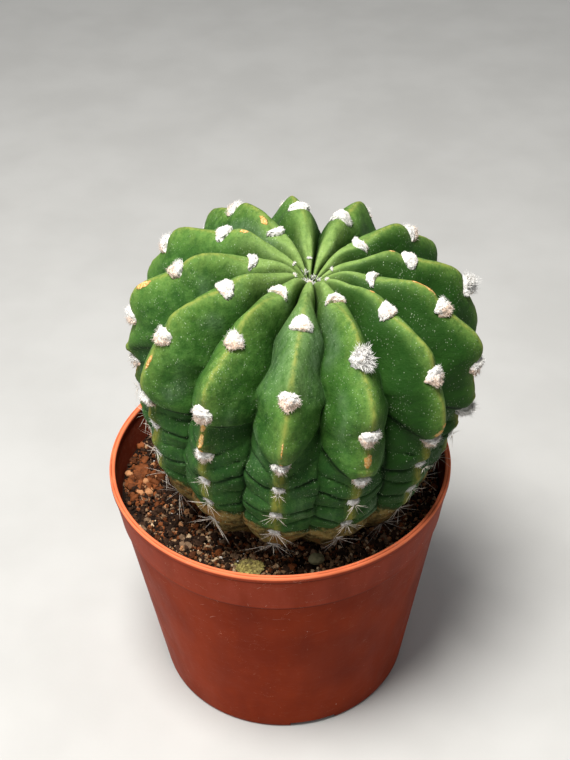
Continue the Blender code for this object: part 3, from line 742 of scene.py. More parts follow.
def build_pot(material):
    outline = pot_outline()
    count = POT_COLUMNS
    angles = np.arange(count) * math.tau / count
    rings = [np.array([[0.0, 0.0, outline[0][1]]])]
    for radius, height in outline[1:-1]:
        level = np.full(count, height)
        rings.append(np.stack([radius * np.cos(angles), radius * np.sin(angles), level], axis=1))
    rings.append(np.array([[0.0, 0.0, outline[-1][1]]]))
    vertices = np.concatenate(rings) + POT_AXIS
    faces = []
    last = 1 + (len(outline) - 3) * count
    for column in range(count):
        following = (column + 1) % count
        faces.append((0, 1 + following, 1 + column))
        for low in range(1, last, count):
            high = low + count
            faces.append((low + column, low + following, high + following, high + column))
        faces.append((last + column, last + following, len(vertices) - 1))
    whole = plain_solid(vertices, faces)
    cutters = pot_cutters()
    for cutter in cutters:
        whole.modifiers.new("cut", "BOOLEAN").object = cutter
    bpy.context.view_layer.update()
    finished = whole.evaluated_get(bpy.context.evaluated_depsgraph_get())
    mesh = bpy.data.meshes.new_from_object(finished)
    for item in [whole, *cutters]:
        bpy.data.objects.remove(item, do_unlink=True)
    mesh.materials.clear()
    mesh.materials.append(material)
    mesh.shade_smooth()
    mesh.set_sharp_from_angle(angle=math.radians(52))
    mesh.name = "pot_shell"
    pot = add_object("pot_shell", mesh)
    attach(pot, "root")
    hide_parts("pot")


# ---------------------------------------------------------------- stem

# Where the skin's columns lie across half a rib, from the furrow up to beside the crest.
FROM_FURROW = [0, 0.025, 0.07, 0.14, 0.23, 0.33, 0.44, 0.55, 0.65, 0.74, 0.82, 0.89, 0.95]
COLUMNS = -1 + np.array(FROM_FURROW)
# The skin's rows, crown, shoulders, pleats and root: how many, and how far apart they are.
ROW_COUNTS = [44, 96, 140, 15]
ROW_STEPS = [1.62, 0.69, 0.515, 3.08]

PILLOW_HEIGHT = 1.0 * MM
CREASE_DEPTH = 1.2 * MM
RECESS_DEPTH = 2.4 * MM
CHIN_HEIGHT = 1.0 * MM
CROWN_GAP_DEPTH = 1.7 * MM
LOW_BACK_RIB = 7
LOW_BACK_RIB_DROP = 2.0 * MM
BROW_HEIGHT = 0.75 * MM
SEAT_DEPTH = 0.8 * MM
SCAR_HEIGHT = 0.22 * MM

# Old scars on the crests: rib, order, across the rib, half length, half width (both mm), strength.
SCARS = [
    (3, 2.45, 0.10, 3.6, 1.3, 1.0), (3, 2.1, 0.06, 1.8, 0.9, 0.9), (2, 1.42, 0.15, 1.2, 1.0, 1.0),
    (2, 5.62, -0.02, 2.4, 2.4, 1.0), (2, 5.35, 0.03, 1.4, 1.5, 0.8), (4, 1.55, 0.10, 1.5, 0.8, 0.9),
    (8, 1.55, 0.15, 2.2, 1.3, 1.0), (9, 1.45, 0.05, 1.6, 0.8, 1.0), (10, 3.95, 0.06, 3.2, 1.1, 1.0),
    (11, 4.75, 0.04, 3.6, 0.9, 0.9), (12, 5.42, 0.0, 3.0, 1.2, 1.0),
    (12, 5.85, 0.02, 3.2, 1.0, 1.0), (12, 6.5, 0.0, 2.6, 0.9, 0.9),
    (1, 5.68, 0.02, 3.0, 1.6, 1.0), (1, 6.9, 0.30, 1.8, 0.7, 1.0),
    (0, 5.2, 0.0, 5.0, 0.45, 0.8), (0, 5.8, 0.0, 1.6, 0.8, 0.8), (5, 3.3, 0.08, 2.4, 1.0, 1.0),
    (6, 5.2, 0.05, 2.2, 1.1, 0.9), (7, 3.4, 0.0, 1.8, 1.2, 1.0), (8, 4.3, 0.02, 2.8, 0.9, 0.9),
    (10, 7.6, 0.0, 1.5, 1.2, 0.8), (9, 6.6, 0.05, 2.2, 1.3, 0.9), (3, 5.5, 0.0, 2.0, 0.6, 0.8),
]
# How many areole steps each rib's chin lies below its usual place.
CHIN_SHIFT = np.array([0.0, 0.0, 0.1, -0.2, 0.0, -0.5, 0.3, -0.5, 0.2, 0.0, -0.8, 0.0, -1.7])


def crease_mask(rib, x, distance, wobble):
    """The pleats that rise from each low areole to the furrow, and the swollen skin between."""
    order = areole_order(distance)
    side = np.abs(x)
    arch = (0.55 + 0.35 * np.sin(rib * 2.7 + np.sign(x))) * side * (2 - side) + 1.2 * wobble
    turn = (order + arch - parity(rib) - 0.15) / 2.0
    main = np.abs(turn - np.round(turn)) * 2 * AREOLE_STEP_LOWER
    between = np.abs(turn + 0.5 + 0.25 * wobble - np.round(turn + 0.5)) * 2 * AREOLE_STEP_LOWER
    grown = ease(order, 6.0, 1.2) * (1 - ease(order, 13.5, 2)) * ease(side, 0.10, 0.22)
    some = smooth(0.5 + 2.2 * np.sin(9.0 * wobble + rib * 1.7 + np.round(turn) * 2.3 + side))
    mask = bell(main / (0.50 * MM)) + 0.7 * some * bell(between / (0.34 * MM))
    pillow = np.abs(np.cos(math.pi * turn)) ** 0.7
    return np.clip(mask, 0, 1) * grown, pillow * grown


def chin_line(rib, x, distance, wobble):
    """Distance down past the line where a rib's full upper part ends in a chin over its foot."""
    chin = np.where(parity(rib) == 0, 6.0, 7.0) + CHIN_SHIFT[rib % RIBS]
    rise = (7.5 + 3.0 * np.sin(rib * 1.9 + 2 * np.sign(x))) * MM * np.abs(x) ** 0.9
    rise = rise * np.where(rib >= 11, -0.35, 1.0)
    return distance - areole_distance(chin) - 0.6 * MM + rise + 5 * MM * wobble


def scar_mask(rib, x, distance, half_width):
    scar = np.zeros(len(x))
    for scar_rib, order, middle, length, width, strength in SCARS:
        chosen = rib == scar_rib
        down = (distance[chosen] - areole_distance(order)) / (length * MM)
        over = (x[chosen] - middle) * half_width[chosen] / (width * MM)
        scar[chosen] = np.maximum(scar[chosen], strength * bell(down, over))
    return scar


def stem_relief(rib, x, distance):
    """How far the skin rises over the plain ribs, and the masks that its colours follow."""
    plain = stem_surface(rib, x, distance)
    slow = fractal(plain, 13 * MM, 2, 1.0)
    quick = fractal(plain, 3.0 * MM, 2, 2.0)
    order = areole_order(distance)
    side = np.abs(x)
    half_width = crest_at(distance)[0][0] * RIB_ANGLE / 2
    across_rib = section(side, half_width)
    off_crest = ease(side, 0.05, 0.25)
    upper = ramp(distance, 6, 14)
    lower = ease(order, 5.0, 2.5) * (1 - ease(order, 14.0, 3))
    # The full upper part of each rib hangs over the thinner, pleated foot.
    past = chin_line(rib, x, distance, 0.22 * slow)
    crease, pillow = crease_mask(rib, x, distance, 0.30 * slow + 0.08 * quick)
    crease = np.maximum(crease * ramp(past, 1.0, 2), bell(past / (0.55 * MM)) * off_crest)
    recess = ramp(past, 0, 1.6) * (1 - ramp(past, 4, 26)) * (0.35 + 0.65 * off_crest)
    chin = bell((past + 4 * MM) / (4 * MM)) * off_crest
    lift = 0.6 * MM * slow * upper + 0.14 * MM * quick * upper
    lift += pillow * PILLOW_HEIGHT - crease * CREASE_DEPTH - recess * RECESS_DEPTH
    lift += CHIN_HEIGHT * chin - 0.35 * MM * np.abs(quick) * lower
    # Furrows: open at the crown, filled by swollen flanks low down, nearly closed beside the front.
    fused_side = ((rib == 0) & (x > 0)) | ((rib == 1) & (x < 0))
    fused = np.where(fused_side, 1 - 0.7 * ramp(distance, 70, 12), 1.0)
    fill = np.where(fused_side, 0.75, 0.5) * ramp(distance, 78, 20) * (1 - ramp(distance, 124, 10))
    plump = 0.08 + 0.80 * (1 - ramp(distance, 20, 30))
    crown_gap = ramp(distance, 2, 5) * (1 - ramp(distance, 12, 16))
    seam = bell((1 - side) * half_width / (0.45 * MM)) * ramp(distance, 3, 8)
    lift -= CROWN_GAP_DEPTH * across_rib**3 * crown_gap
    lift += furrow_depth(distance) * (fill * across_rib + plump * (across_rib - across_rib**2.2))
    lift -= seam * (0.25 + 0.55 * lower) * fused * MM
    low_back = (rib == LOW_BACK_RIB) * ease(order, 2.0, 0.9) * (1 - ease(order, 4.2, 1.5))
    lift -= LOW_BACK_RIB_DROP * low_back * (1 - side**2)
    # Each areole sits in a notch under a brow.
    own = order - parity(rib)
    spacing = np.where(order > STEP_CHANGE, AREOLE_STEP_LOWER, AREOLE_STEP_UPPER)
    from_areole = (own - 2 * np.round(own / 2)) * spacing
    across = x * half_width
    brow = bell((from_areole + 5.5 * MM) / (4.5 * MM), across / (4.5 * MM)) * (order > 0.8)
    seat = bell(from_areole / (2.8 * MM), across / (3.4 * MM)) * (order > 0.5)
    scar = scar_mask(rib, x, distance, half_width)
    lift += brow * BROW_HEIGHT * (1 - 0.6 * lower) - seat * SEAT_DEPTH + SCAR_HEIGHT * scar
    # The masks. Those of the flanks, furrows and creases paint shade.
    # Ribs 2 to 5 lie in shade: painted shade darkens their flanks further and thins their pale
    # bloom.
    shaded = (rib >= 2) & (rib <= 5)
    from_crest = side * half_width
    strip = np.where(order > STEP_CHANGE, 1.7 * MM, 0.7 * MM)
    line = 0.6 + 0.25 * lower + 0.28 * (1 - ramp(distance, 16, 18))
    # A painted shade line along each furrow.
    furrow = bell((1 - side) * half_width / (0.5 * MM)) * line * fused
    # Painted shade over the flanks towards the furrows, slight on the front rib.
    flank = ease(side, 0.30, 0.6) * np.where(rib == 0, 0.15, 0.5)
    bloom = ease(side, 0.35, 0.35) * (1 - ease(side, 0.86, 0.12)) * smooth(slow * 1.6 - 0.1)
    bloom = bloom * upper * np.where(shaded, 0.25, 1.0)
    front = (rib == 0) * ramp(distance, 22, 14) * (1 - ramp(distance, 50, 18))
    return lift, {
        "crest": bell(from_crest / strip) * ramp(distance, 20, 20),
        "shoulder": bell(from_crest / (3.6 * MM)) * (1 - 0.8 * lower),
        "crown": (1 - ramp(distance, 6, 34)) * (1 - 0.8 * ease(side, 0.5, 0.4)),
        "low": ramp(past, -2.0, 4) * (1 - ease(order, 14.0, 3)),
        # Painted shade: the furrow lines and the crown's middle.
        "furrow": np.maximum(furrow, 1 - ramp(distance, 1.5, 4)),
        "flank": upper * np.where(shaded & (x < 0), ease(side, 0.06, 0.4), flank),
        # Painted shade in the creases, the same mask that sinks them.
        "crease": crease,
        "scar": scar,
        "cork": ease(distance + 3.5 * MM * slow, 114.5 * MM, 9 * MM),
        "bloom": bloom + 0.6 * front,
    }


def build_stem(material):
    stations = np.concatenate([COLUMNS, [0.0], -COLUMNS[:0:-1]])
    rows = np.cumsum(np.repeat(ROW_STEPS, ROW_COUNTS))
    rows = rows / rows[-1] * (CREST_LENGTHS[-1] - 1.0 * MM)
    columns = len(stations) * RIBS
    rib = np.tile(np.repeat(np.arange(RIBS), len(stations)), len(rows))
    x = np.tile(stations, RIBS * len(rows))
    distance = np.repeat(rows, columns)
    lift, masks = stem_relief(rib, x, distance)
    points = stem_surface(rib, x, distance, lift)
    crown = np.array(STEM_FRAME @ Vector((0, 0, float(CREST_POINTS[0][1]) - 0.5 * MM)))
    root = np.array(STEM_FRAME @ Vector((0, 0, float(CREST_POINTS[-1][1]))))
    top, bottom, final = len(points), len(points) + 1, len(points) - columns
    faces = []
    for low in range(0, final, columns):
        high = low + columns
        for column in range(columns):
            following = (column + 1) % columns
            faces.append((low + column, high + column, high + following, low + following))
    for column in range(columns):
        following = (column + 1) % columns
        faces.append((top, column, following))
        faces.append((bottom, final + following, final + column))
    vertices = np.concatenate([points, [crown, root]])
    masks = {key: np.concatenate([mask, mask[:1], mask[-1:]]) for key, mask in masks.items()}
    return add_piece(
        "cactus_stem_skin", vertices, faces, material, masks, "cactus_skin", ["cactus_stem"]
    )


# ---------------------------------------------------------------- wool and spines

# Cushions are draped by casting rays at the skin, from this far out to this far down.
RAY_START = 14 * MM
RAY_REACH = 18.2 * MM
# Areoles whose wool has burst into a fluffy tuft: (rib, order) and size.
TUFTS = {(1, 3): 1.0, (3, 7): 0.8, (4, 4): 1.0, (9, 6): 0.8, (7, 5): 0.8}
GOLDEN_ANGLE = 2.399


def areole_size(order):
    """Half width, half length and thickness of a cushion."""
    grown = 1 - math.exp(-order / 1.3)
    share = 1.0 if order < STEP_CHANGE else 0.82
    sizes = ((1.2, 2.7), (0.9, 2.0), (0.8, 1.6))
    return [(start + growth * grown) * share * MM for start, growth in sizes]


def node_orders(rib):
    if rib == SEAM_RIB:
        return [1.5, 4, 6, 8]
    return [int(parity(rib)) + 2 * index for index in range(4)]


def areole_seat(rib, order):
    """Centre on the crest, and the directions down the rib, across it and out of it."""
    places = areole_distance(order) + np.array([0, -1, 1]) * MM
    spots = stem_surface(np.array([rib] * 3), np.zeros(3), places)
    down = Vector(spots[2] - spots[1]).normalized()
    angle = float(rib_angle(rib))
    across = STEM_FRAME.to_3x3() @ Vector((-math.sin(angle), math.cos(angle), 0))
    out = across.normalized().cross(down).normalized()
    middle = STEM_FRAME @ Vector((0, 0, 45 * MM))
    if out.dot(Vector(spots[0]) - middle) < 0:
        out.negate()
    return Vector(spots[0]), down, across.normalized(), out


def add_cushion(batch, tree, seat, half_sizes, seed, ragged=1.0, beige=1.0, sag=0.0):
    """A lumpy felt cushion draped over the crest; returns its surface points and normals."""
    centre, down, across, out = seat
    half_width, half_length, thickness = half_sizes
    shape, faces = ball(4)
    lumps = fractal(shape + seed * 3.7, 0.55, 3, seed)
    fluff = fractal(shape + seed * 1.3, 0.22, 2, seed + 5)
    edge = 1 + 0.18 * lumps * ragged + 0.15 * fluff
    points = []
    for (u, v, w), grow, lump in zip(shape, edge, lumps):
        flat_u, flat_v = u * grow * half_width, v * grow * half_length + sag * u * u
        start = centre + across * flat_u + down * flat_v + out * RAY_START
        hit = tree.ray_cast(start, -out)[0]
        if hit is None or (hit - start).length > RAY_REACH:
            hit = start - out * RAY_REACH
        rim = max(0.0, 1 - u * u - v * v) ** 0.5
        height = thickness * (0.30 + 0.70 * rim + 0.42 * lump * rim) if w > 0 else -0.25 * MM
        points.append(hit + out * height)
    points = np.array(points)
    batch.add(points, faces, low=(0.5 + 0.5 * shape[:, 1]) * beige, hair=0.0, along=0.0)
    top = shape[:, 2] > 0.05
    return points[top], shape[top]


def add_fleece(batch, seat, points, shape, count, length, seed, beige, spray=0.6, radius=0.07):
    """Fine hairs over a cushion, combed outwards from its middle."""
    _, down, across, out = [np.array(item) for item in seat]
    local = np.random.default_rng(int(seed * 101) + 7)
    pick = local.integers(0, len(points), count)
    flat = shape[pick]
    away = across * flat[:, :1] + down * flat[:, 1:2]
    jitter = local.normal(0, 0.45, (count, 3))
    heading = unit(away * spray + out * 0.5 + jitter * 0.55)
    lengths = length * local.uniform(0.5, 1.25, count)
    bend = unit(local.normal(0, 1, (count, 3))) * (lengths * 0.35)[:, None]
    start = points[pick] - heading * 0.2 * MM
    low = (0.5 + 0.5 * flat[:, 1]) * beige
    radii = np.full(count, radius * MM)
    add_strands(batch, start, heading, lengths, radii, bend, 3, low=low, hair=0.75)


def add_spine_star(batch, seat, count, length, seed):
    """Spines that radiate from an areole, flatter to the rib than out of it."""
    centre, down, across, out = [np.array(item) for item in seat]
    local = np.random.default_rng(int(seed * 57) + 3)
    turns = np.arange(count) * math.tau / count + local.normal(0, 0.22, count)
    flat = across * np.cos(turns)[:, None] + down * np.sin(turns)[:, None]
    heading = unit(flat + out * local.uniform(0.15, 0.75, count)[:, None] + down * 0.2)
    lengths = length * local.uniform(0.55, 1.15, count)
    roots = centre + out * 0.7 * MM + flat * 0.5 * MM
    bend = np.outer(lengths * 0.12, down) + local.normal(0, 0.06, (count, 3)) * lengths[:, None]
    radii = 0.085 * MM * local.uniform(0.7, 1.2, count)
    add_strands(batch, roots, heading, lengths, radii, bend, 4, 0.6)


def add_tuft(batch, seat, points, shape, size, seed):
    """Clumps of longer hair, where a cushion has burst."""
    for clump in range(15):
        turned = seed + 0.5 + clump
        centre = points[(clump * 37) % len(points)]
        near = np.argsort(np.linalg.norm(points - centre, axis=1))[:30]
        length = (1.3 + 1.5 * abs(math.sin(turned * 2.1))) * size * MM
        add_fleece(batch, seat, points[near], shape[near], 20, length, turned, 0.1, 1.2, 0.12)


def add_areole(batch, spines, tree, rib, order, seed):
    """One of the large woolly areoles, which are nodes of their own in the CAD."""
    seat = areole_seat(rib, order)
    # The crown's youngest wool is still half hidden and hangs in crescents; the next is plumpest.
    share = 0.6 if order < 0.5 else 1.18 if order < 1.8 else 1.0
    half_width, half_length, thickness = [size * share for size in areole_size(order)]
    young = order < 2.5
    beige = 0.5 if young else 1.0
    half_width *= 1.04 if young else 0.82
    half_length *= 0.6 if order < 1.8 else 1.0
    sag = (1.5 if order < 1.8 else 0.9 if young else 0.0) * MM * (order > 0)
    size = TUFTS.get((rib, int(order)))
    if size:
        thickness, beige = thickness * 1.7, 0.3
    sizes = half_width, half_length, thickness
    points, shape = add_cushion(batch, tree, seat, sizes, seed, 0.6 if young else 1.3, beige, sag)
    hairs = int(90 + 190 * min(order, 3) / 3)
    add_fleece(batch, seat, points, shape, hairs, (0.6 if young else 1.1) * MM, seed, beige)
    if size:
        add_tuft(batch, seat, points, shape, size, seed)
    if order >= 5.5:
        add_spine_star(spines, seat, 7, 2.0 * MM, seed)


def add_low_areole(batch, spines, tree, rib, order, seed):
    """One of the crowded small areoles low down, whose spines lengthen towards the soil."""
    seat = areole_seat(rib, order)
    sizes = 1.8 * MM, 1.5 * MM, 1.1 * MM
    points, shape = add_cushion(batch, tree, seat, sizes, seed, 1.4, 0.45)
    add_fleece(batch, seat, points, shape, 80, 1.0 * MM, seed, 0.3)
    grown = max((order - 8) / 6, 0)
    count = int(9 + 4 * grown + 2 * math.sin(seed))
    add_spine_star(spines, seat, count, (3.2 + 6.4 * grown) * MM, seed)


def build_wool(stem, wool, ivory):
    tree = BVHTree.FromPolygons(
        [vertex.co for vertex in stem.data.vertices],
        [list(face.vertices) for face in stem.data.polygons],
    )
    for rib in range(RIBS):
        batch, spines = Batch(), Batch()
        orders = node_orders(rib)
        for number, order in enumerate(orders, start=1):
            add_areole(batch, spines, tree, rib, order, rib * 7.1 + number * 1.7)
        for order in range(orders[-1] + 2, LAST_ORDER + 1, 2):
            add_low_areole(batch, spines, tree, rib, order, rib * 7.1 + order * 2.3)
        nodes = [f"areole_{rib:02d}_{number}" for number in range(1, 5)]
        batch.piece(f"wool_rib_{rib:02d}", wool, slot="areole_wool", replaces=nodes)
        spines.piece(f"spines_rib_{rib:02d}", ivory, slot="areole_wool")


def build_crown_tufts(wool):
    """Tiny tufts of wool about the crown's dark middle."""
    batch = Batch()
    local = np.random.default_rng(5)
    count = 26
    for index in range(9):
        rib = int((index * GOLDEN_ANGLE % math.tau) / RIB_ANGLE) % RIBS
        distance = (2.2 + 0.55 * index) * MM
        spot = stem_surface(np.array([rib]), np.array([0.0]), np.array([distance]))[0]
        roots = spot + local.normal(0, 0.35 * MM, (count, 3))
        heading = unit(np.array(STEM_AXIS) + local.normal(0, 0.6, (count, 3)))
        lengths = local.uniform(0.7, 1.5, count) * MM
        bend = local.normal(0, 0.3 * MM, (count, 3))
        radii = np.full(count, 0.10 * MM)
        add_strands(batch, roots, heading, lengths, radii, bend, 3, low=0.1, hair=1.0)
    batch.piece("crown_wool", wool, slot="areole_wool")


# ---------------------------------------------------------------- soil

HEAP = (-50 * MM, 2 * MM)


def stem_clearance(points):
    """How far points near the soil lie outside the stem's crests."""
    inverse = np.array(STEM_FRAME.inverted())
    local = points @ inverse[:3, :3].T + inverse[:3, 3]
    start = int(np.argmax(CREST[:, 0]))
    heights, radii = CREST[start:, 1][::-1], CREST[start:, 0][::-1]
    return np.hypot(local[:, 0], local[:, 1]) - np.interp(local[:, 2], heights, radii)


def soil_spots(count, inner, outer, local):
    radius = np.sqrt(local.uniform(inner**2, outer**2, count))
    angle = local.uniform(0, math.tau, count)
    return radius * np.cos(angle), radius * np.sin(angle)


def on_soil(x, y, above):
    """Points over the soil and over the low heap of reddish grit beside the wall."""
    heap = 1.5 * MM * bell((x - HEAP[0]) / (5 * MM), (y - HEAP[1]) / (7 * MM))
    return np.stack([x, y, soil_height(x, y) + heap + above], axis=1) + POT_AXIS


def add_grains(batch, x, y, size, depth, local, template, rough):
    """Broken grains lying on the soil, partly sunk into it."""
    shape, faces = template
    centre = on_soil(x, y, depth)
    keep = stem_clearance(centre) > size * 0.8
    centre, size = centre[keep], size[keep]
    count = len(centre)
    scale = size[:, None] * local.uniform(0.6, 1.15, (count, 3))
    frames = np.linalg.qr(local.normal(0, 1, (count, 3, 3)))[0]
    jitter = 1 + local.uniform(-rough, rough, (count, len(shape), 1))
    points = np.einsum("nij,nvj->nvi", frames, shape[None] * jitter * scale[:, None, :])
    points = (points + centre[:, None, :]).reshape(-1, 3)
    tint = np.repeat(local.uniform(0, 1, count), len(shape))
    batch.add(points, repeated(faces, len(shape), count), tint=tint)


def build_soil(dark, rust, tan, pale):
    outer = float(wall_radius(SOIL_LEVEL)) + COLLAR_STEP - POT_WALL - 0.3 * MM
    coarse, fine = ball(2), ball(1)
    local = np.random.default_rng(31)
    # Name, material, slot, how many, smallest and largest radius in millimetres, template.
    kinds = [
        ("soil_crumbs_fine", dark, "potting_mix", 6000, 0.3, 0.8, fine),
        ("soil_crumbs_coarse", dark, "potting_mix", 1100, 0.7, 1.7, coarse),
        ("soil_grit_rust", rust, "red_grit", 3400, 0.3, 1.0, fine),
        ("soil_lumps_rust", rust, "red_grit", 130, 0.9, 1.7, coarse),
        ("soil_grit_tan", tan, "red_grit", 3200, 0.2, 0.95, fine),
        ("soil_grit_pale", pale, "pebble_stone", 420, 0.2, 0.6, fine),
    ]
    for name, material, slot, count, small, large, template in kinds:
        batch = Batch()
        x, y = soil_spots(count, 24 * MM, outer - large * MM, local)
        size = local.uniform(small**0.5, large**0.5, count) ** 2 * MM
        depth = local.uniform(-0.2, 0.7, count) * MM
        if material in (tan, pale):
            # Most of the light grains lie at the front, and few at the left; the crowding at the
            # front also stands in for light there, and the thinning at the left for shade.
            radius, front = np.hypot(x, y), local.normal(-math.pi / 2, 0.8, count)
            chosen = local.uniform(0, 1, count) < 0.62
            x = np.where(chosen, radius * np.cos(front), x)
            y = np.where(chosen, radius * np.sin(front), y)
            keep = (x > -28 * MM) | (local.uniform(0, 1, count) < 0.4)
            x, y, size, depth = x[keep], y[keep], size[keep], depth[keep]
        add_grains(batch, x, y, size, depth, local, template, 0.34)
        batch.piece(name, material, slot=slot, flat=True)
    build_heap(rust, outer, local, coarse)
    build_fibres(tan, outer, local)


def build_heap(material, outer, local, template):
    count = 170
    x = -50 * MM + local.normal(0, 4.5 * MM, count)
    y = 1.5 * MM + local.normal(0, 5.5 * MM, count)
    inside = np.hypot(x, y) < outer - 1 * MM
    x, y = x[inside], y[inside]
    size = local.uniform(0.5, 1.2, len(x)) ** 2 * 1.15 * MM
    depth = local.uniform(0, 0.9, len(x)) * MM
    batch = Batch()
    add_grains(batch, x, y, size, depth, local, template, 0.4)
    batch.piece("soil_heap_red", material, slot="red_grit")


def build_fibres(material, outer, local):
    x, y = soil_spots(260, 30 * MM, outer - 3 * MM, local)
    roots = on_soil(x, y, 0.9 * MM)
    roots = roots[stem_clearance(roots) > 3 * MM]
    count = len(roots)
    level, upright = local.normal(0, 1, (2, count)), local.normal(0, 0.12, count)
    heading = unit(np.stack([*level, upright], axis=1))
    lengths = local.uniform(1.5, 4.5, count) * MM
    bend = local.normal(0, 0.6 * MM, (count, 3)) * np.array([1, 1, 0.2])
    radii = local.uniform(0.08, 0.2, count) * MM
    batch = Batch()
    tint = local.uniform(0, 0.9, count)
    add_strands(batch, roots, heading, lengths, radii, bend, 5, tint=tint)
    batch.piece("soil_fibres", material, slot="potting_mix")


def middle_and_half(node):
    low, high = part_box(node)
    return np.array((low + high) / 2), np.array((high - low) / 2)


def build_lump(name, node, material, slot, seed, roughness):
    """An uneven lump in the space of its CAD node."""
    middle, half = middle_and_half(node)
    shape, faces = ball(5)
    wobble = fractal(shape, 0.9, 4, seed) + 0.35 * fractal(shape, 0.25, 3, seed + 2)
    points = shape * (1 + roughness * wobble)[:, None]
    points[:, 2] = np.maximum(points[:, 2], -0.9)
    batch = Batch()
    batch.add(points * half + middle, faces, tint=0.5 + 0.5 * fractal(shape, 0.5, 2, seed + 4))
    batch.piece(name, material, slot=slot, replaces=[node])


def build_moss(material):
    """A patch of moss: a lumpy mat with many granules and short shoots."""
    middle, half = middle_and_half("moss_patch")
    shape, faces = ball(4)
    wobble = 1 + 0.25 * fractal(shape, 0.6, 3, 8.0)
    points = shape * wobble[:, None] * np.array([0.85, 0.85, 0.55])
    points[:, 2] = np.maximum(points[:, 2], -0.5)
    batch = Batch()
    batch.add(points * half + middle, faces, along=0.0, tint=0.0)
    local = np.random.default_rng(77)
    grain, grain_faces = ball(1)
    for index in np.flatnonzero(local.uniform(0, 1, len(points)) < 0.28):
        if points[index][2] < -0.3:
            continue
        size = local.uniform(0.25, 0.75) * MM
        squash = np.array([1.0, 1.0, 0.8]) * local.uniform(0.75, 1.2, 3)
        spot = points[index] * half * local.uniform(0.85, 1.12) + middle
        tint = float(local.uniform(0, 1) ** 0.8)
        batch.add(grain * squash * size + spot, grain_faces, along=0.6, tint=tint)
    top = shape[:, 2] > -0.1
    count = 60
    for _ in range(14):
        spot = local.integers(0, top.sum())
        near = np.argsort(np.linalg.norm(points[top] - points[top][spot], axis=1))[:count]
        pick = near[local.integers(0, len(near), count)]
        roots = (points[top] * half + middle)[pick]
        jitter = local.normal(0, 0.6, (count, 3))
        heading = unit(shape[top][pick] * 0.8 + np.array([0, 0, 0.7]) + jitter)
        lengths = local.uniform(0.3, 0.95, count) * MM
        bend = local.normal(0, 0.2 * MM, (count, 3))
        radii = np.full(count, 0.15 * MM)
        add_strands(batch, roots, heading, lengths, radii, bend, 3, tint=local.uniform(0, 1))
    batch.piece("moss_tuft", material, slot="moss", replaces=["moss_patch"])


# ---------------------------------------------------------------- floor, light, camera

FLOOR_REACH = 3.0
LIGHT_AIM = Vector((0, 0, 0.1))
# Looked down from above, and turned a degree about the line of sight.
CAMERA_TILT = math.radians(37.77)
CAMERA_ROLL = math.radians(-1.237)
CAMERA_DISTANCE = 0.420924
CAMERA_AIM = Vector((2.328, 0.0, 125.694)) * MM
CAMERA_LENS = 59.21


def build_floor():
    n = Nodes("studio_floor")
    fine = n.noise(1.5 * MM, 4.0)
    cloud = n.range(n.noise(60 * MM), 0.3, 0.7)
    n.colour = n.mix(cloud, (0.46, 0.455, 0.44), (0.50, 0.495, 0.48))
    mesh = bpy.data.meshes.new("floor")
    around = ((-1, -1), (1, -1), (1, 1), (-1, 1))
    corners = [(x * FLOOR_REACH, y * FLOOR_REACH, 0) for x, y in around]
    mesh.from_pydata(corners, [], [(0, 1, 2, 3)])
    rough = n.range(fine, 0.3, 0.7, 0.6, 0.75)
    mesh.materials.append(n.finish(rough, n.bump(fine, 0.05 * MM, 0.2)))
    floor = add_object("floor", mesh)


def add_light(name, place, size, power, colour=(1.0, 1.0, 1.0)):
    lamp = bpy.data.lights.new(name, "AREA")
    lamp.shape = "DISK"
    lamp.size = size
    lamp.energy = power
    lamp.color = colour
    item = add_object(name, lamp)
    item.location = place
    item.rotation_mode = "QUATERNION"
    item.rotation_quaternion = (LIGHT_AIM - Vector(place)).to_track_quat("-Z", "Y")


def build_studio():
    build_floor()
    world = bpy.data.worlds.new("studio")
    world.use_nodes = True
    background = world.node_tree.nodes["Background"]
    background.inputs["Color"].default_value = (0.96, 0.98, 1.0, 1.0)
    background.inputs["Strength"].default_value = 0.30
    bpy.context.scene.world = world
    add_light("key", (-0.13, -0.17, 0.86), 0.32, 12.3, (1.0, 0.985, 0.95))
    add_light("fill", (-0.80, -0.34, 0.30), 0.6, 3.0)
    bpy.context.scene.view_settings.view_transform = "Standard"


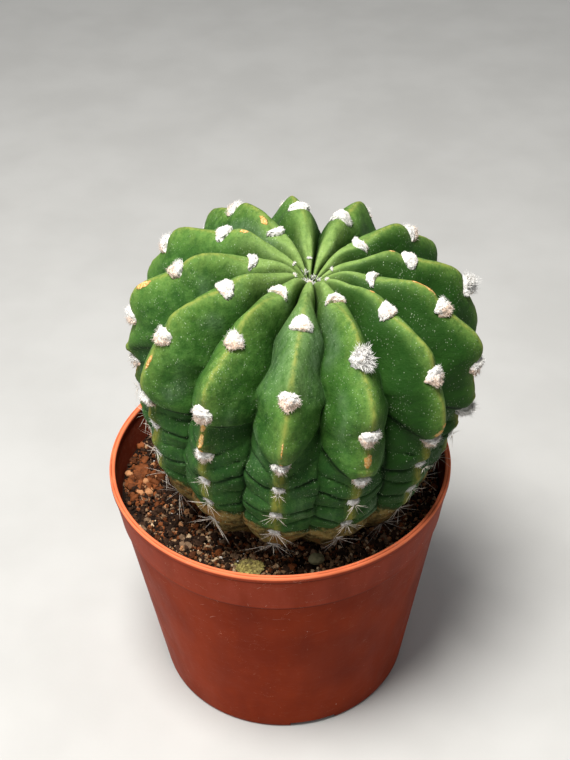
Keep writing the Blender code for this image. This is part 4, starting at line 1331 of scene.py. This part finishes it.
def build_camera():
    back = Vector((0, -math.cos(CAMERA_TILT), math.sin(CAMERA_TILT)))
    up = Vector((0, math.sin(CAMERA_TILT), math.cos(CAMERA_TILT)))
    turn = Matrix((Vector((1, 0, 0)), up, back)).transposed().to_4x4()
    place = Matrix.Translation(Vector(POT_AXIS) + CAMERA_AIM + back * CAMERA_DISTANCE)
    lens = bpy.data.cameras.new("camera")
    lens.sensor_width = 36
    lens.lens = CAMERA_LENS
    lens.clip_start = 0.01
    camera = add_object("camera", lens)
    camera.matrix_world = place @ turn @ Matrix.Rotation(CAMERA_ROLL, 4, "Z")
    bpy.context.scene.camera = camera


# ---------------------------------------------------------------- everything

# Granules: dark and light tint, the odd grains' colour and share, roughness.
GRAINS = {
    "potting_mix": ((0.006, 0.003, 0.002), (0.060, 0.030, 0.017), (0.20, 0.125, 0.075), 0.14, 0.88),
    "red_grit": ((0.045, 0.014, 0.005), (0.250, 0.075, 0.022), (0.46, 0.22, 0.10), 0.14, 0.75),
    "tan_grit": ((0.12, 0.070, 0.038), (0.42, 0.25, 0.13), (0.62, 0.45, 0.28), 0.2, 0.75),
    "pale_grit": ((0.30, 0.20, 0.14), (0.62, 0.50, 0.40), (0.80, 0.76, 0.70), 0.12, 0.7),
    "pebble_stone": ((0.115, 0.110, 0.055), (0.34, 0.32, 0.18), (0.34, 0.32, 0.18), 0.0, 0.7),
}


def main():
    wool = wool_material()
    earth, rust, tan, pale, stone = [grain_material(name, *look) for name, look in GRAINS.items()]
    stem = build_stem(skin_material())
    build_wool(stem, wool, spine_material())
    build_crown_tufts(wool)
    build_pot(pot_material())
    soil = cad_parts["soil"]
    soil.data.materials.clear()
    soil.data.materials.append(earth)
    build_soil(earth, rust, tan, pale)
    build_lump("pebble", "pebble_green", stone, "pebble_stone", 3.0, 0.10)
    build_lump("grit_lump_a", "grit_lump_large", rust, "red_grit", 5.0, 0.28)
    build_lump("grit_lump_b", "grit_lump_small", rust, "red_grit", 7.0, 0.28)
    build_moss(moss_material())
    build_studio()
    build_camera()
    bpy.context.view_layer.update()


main()
